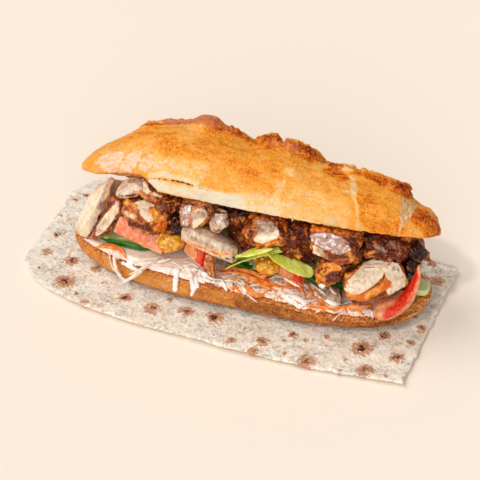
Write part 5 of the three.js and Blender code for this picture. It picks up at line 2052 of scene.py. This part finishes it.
@dataclass
class Scraps:
    """Crisp shreds and crumbs of chicken between the pieces.

    The fragments show in the photograph; the rest are drawn in its front region and behind,
    and stay only on the browned pieces.
    """

    front: tuple[Pixel, ...] = (
        (122, 196), (165, 196), (205, 206), (240, 212), (300, 226), (360, 238), (405, 240), (424, 262),
        (408, 290), (372, 304), (345, 300), (340, 280), (300, 262), (244, 246), (190, 232), (170, 236),
        (128, 222),
    )
    fragments: tuple[tuple[Pixel, ...], ...] = (
        ((346, 244), (352, 242), (357, 245)), ((352, 250), (358, 254)), ((362, 252), (366, 250)),
        ((366, 257), (372, 256), (378, 254)), ((352, 236), (360, 238)), ((206, 206), (210, 211)),
        ((164, 198), (168, 200)), ((180, 204), (184, 206)), ((244, 226), (250, 228)),
        ((310, 260), (314, 264)),
    )
    fragment_size: tuple[float, float, float] = (1.6, 0.9, 0.8)
    browned: tuple[str, ...] = (
        "crust_high", "charred_left", "dark_high", "under_long", "dark_middle", "right_high",
        "crusted_right", "charred_right", "hooked_end", "under_flap", "back_end_right", "back_left",
        "back_middle", "back_middle_right",
    )
    count: int = 170
    behind: int = 90
    seed: int = 41

    def build(self, ground: Ground) -> None:
        """Makes a light and a dark kind.

        Args:
            ground: The food that they lie on.
        """
        light = Chicken(
            "crisp_chicken", roast_light=(220, 134, 62), roast=(176, 84, 32), roast_deep=(104, 40, 16)
        )
        dark = Chicken(
            "burnt_chicken", roast_light=(150, 76, 36), roast=(92, 40, 22), roast_deep=(40, 18, 14)
        )
        region = within(self.front, 2.0)
        for name, slot, finish, seed in (
            ("crisp_scraps", Slot.ROASTED, light, self.seed),
            ("burnt_scraps", Slot.CHARRED, dark, self.seed + 1),
        ):
            clump = Clump(name, seed, crag=0.35)
            rng = clump.rng
            spots = [ground.seen(rng.choice(region)) for _ in range(self.count)]
            spots += [ground.below(rng.uniform(-90, 108), rng.uniform(2, 38)) for _ in range(self.behind)]
            for spot in spots:
                if spot is not None and spot.owner.removeprefix("meat_") in self.browned:
                    long = rng.uniform(0.6, 2.0)
                    clump.drop(spot, (long, 0.5 * long, rng.uniform(0.3, 0.6) * long), 0.2)
            for fragment in self.fragments:
                for pixel in along(fragment, 2.5):
                    clump.drop(ground.seen(pixel), self.fragment_size, 0.3)
            clump.make().dress(finish.make(), slot)


@dataclass
class Studio:
    """The pale floor and the soft light. The floor's side and drop are in metres."""

    floor_colour: Colour = (254, 240, 225)
    floor_shade: Colour = (244, 226, 206)
    floor_side: float = 6.0
    floor_drop: float = 0.0002
    air: float = 0.35
    air_colour: Colour = (255, 247, 238)

    def build(self) -> None:
        """Makes the floor, the lights and the world."""
        bpy.ops.object.select_all(action="DESELECT")
        bpy.ops.mesh.primitive_plane_add(size=self.floor_side, location=(0, 0, -self.floor_drop))
        floor = bpy.context.object
        floor.name = "studio_floor"
        s = Sketch("studio_paper")
        paper = s.span(s.noise(300, 2), 0.3, 0.7, 0.0, 0.06)
        s.colour(s.blend(paper, tint(*self.floor_colour), tint(*self.floor_shade)))
        s.sheen(0.9)
        floor.data.materials.append(s.material)
        self.light("key_light", (-0.75, 0.05, 0.95), 42.0, 1.10)
        self.light("front_light", (0.15, -1.0, 0.55), 50.0, 1.30)
        self.light("glint_light", (-0.3, -0.6, 0.9), 5.0, 0.70)
        world = bpy.data.worlds.new("studio_air")
        world.use_nodes = True
        air = world.node_tree.nodes["Background"]
        air.inputs["Color"].default_value = tint(*self.air_colour)
        air.inputs["Strength"].default_value = self.air
        bpy.context.scene.world = world
        bpy.context.scene.view_settings.view_transform = "Standard"

    @staticmethod
    def light(name: str, place: tuple[float, float, float], spread: float, strength: float) -> None:
        """Adds a far soft light that looks at the food.

        Args:
            name: Its name.
            place: The way that it comes from.
            spread: How wide it looks from the food, in degrees; wider is softer.
            strength: Its strength in watts a square metre.
        """
        bpy.ops.object.light_add(type="SUN", location=place)
        lamp = bpy.context.object
        lamp.name = name
        lamp.data.angle = math.radians(spread)
        lamp.data.energy = strength
        lamp.rotation_euler = (-Vector(place)).to_track_quat("-Z", "Y").to_euler()


def main() -> None:
    """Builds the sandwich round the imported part."""
    logging.basicConfig(level=logging.INFO, format="%(name)s: %(message)s", force=True)
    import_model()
    bpy.ops.object.select_all(action="DESELECT")
    EYE.build()
    Studio().build()
    ground = Ground()
    for part in (Flatbread(), Roll(), SlawCore(), Salad(), ChickenHeap(), SlawShreds(), Sauce(), Scraps()):
        LOG.info("building the %s", type(part).__name__)
        part.build(ground)
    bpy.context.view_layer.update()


if __name__ == "__main__":
    main()
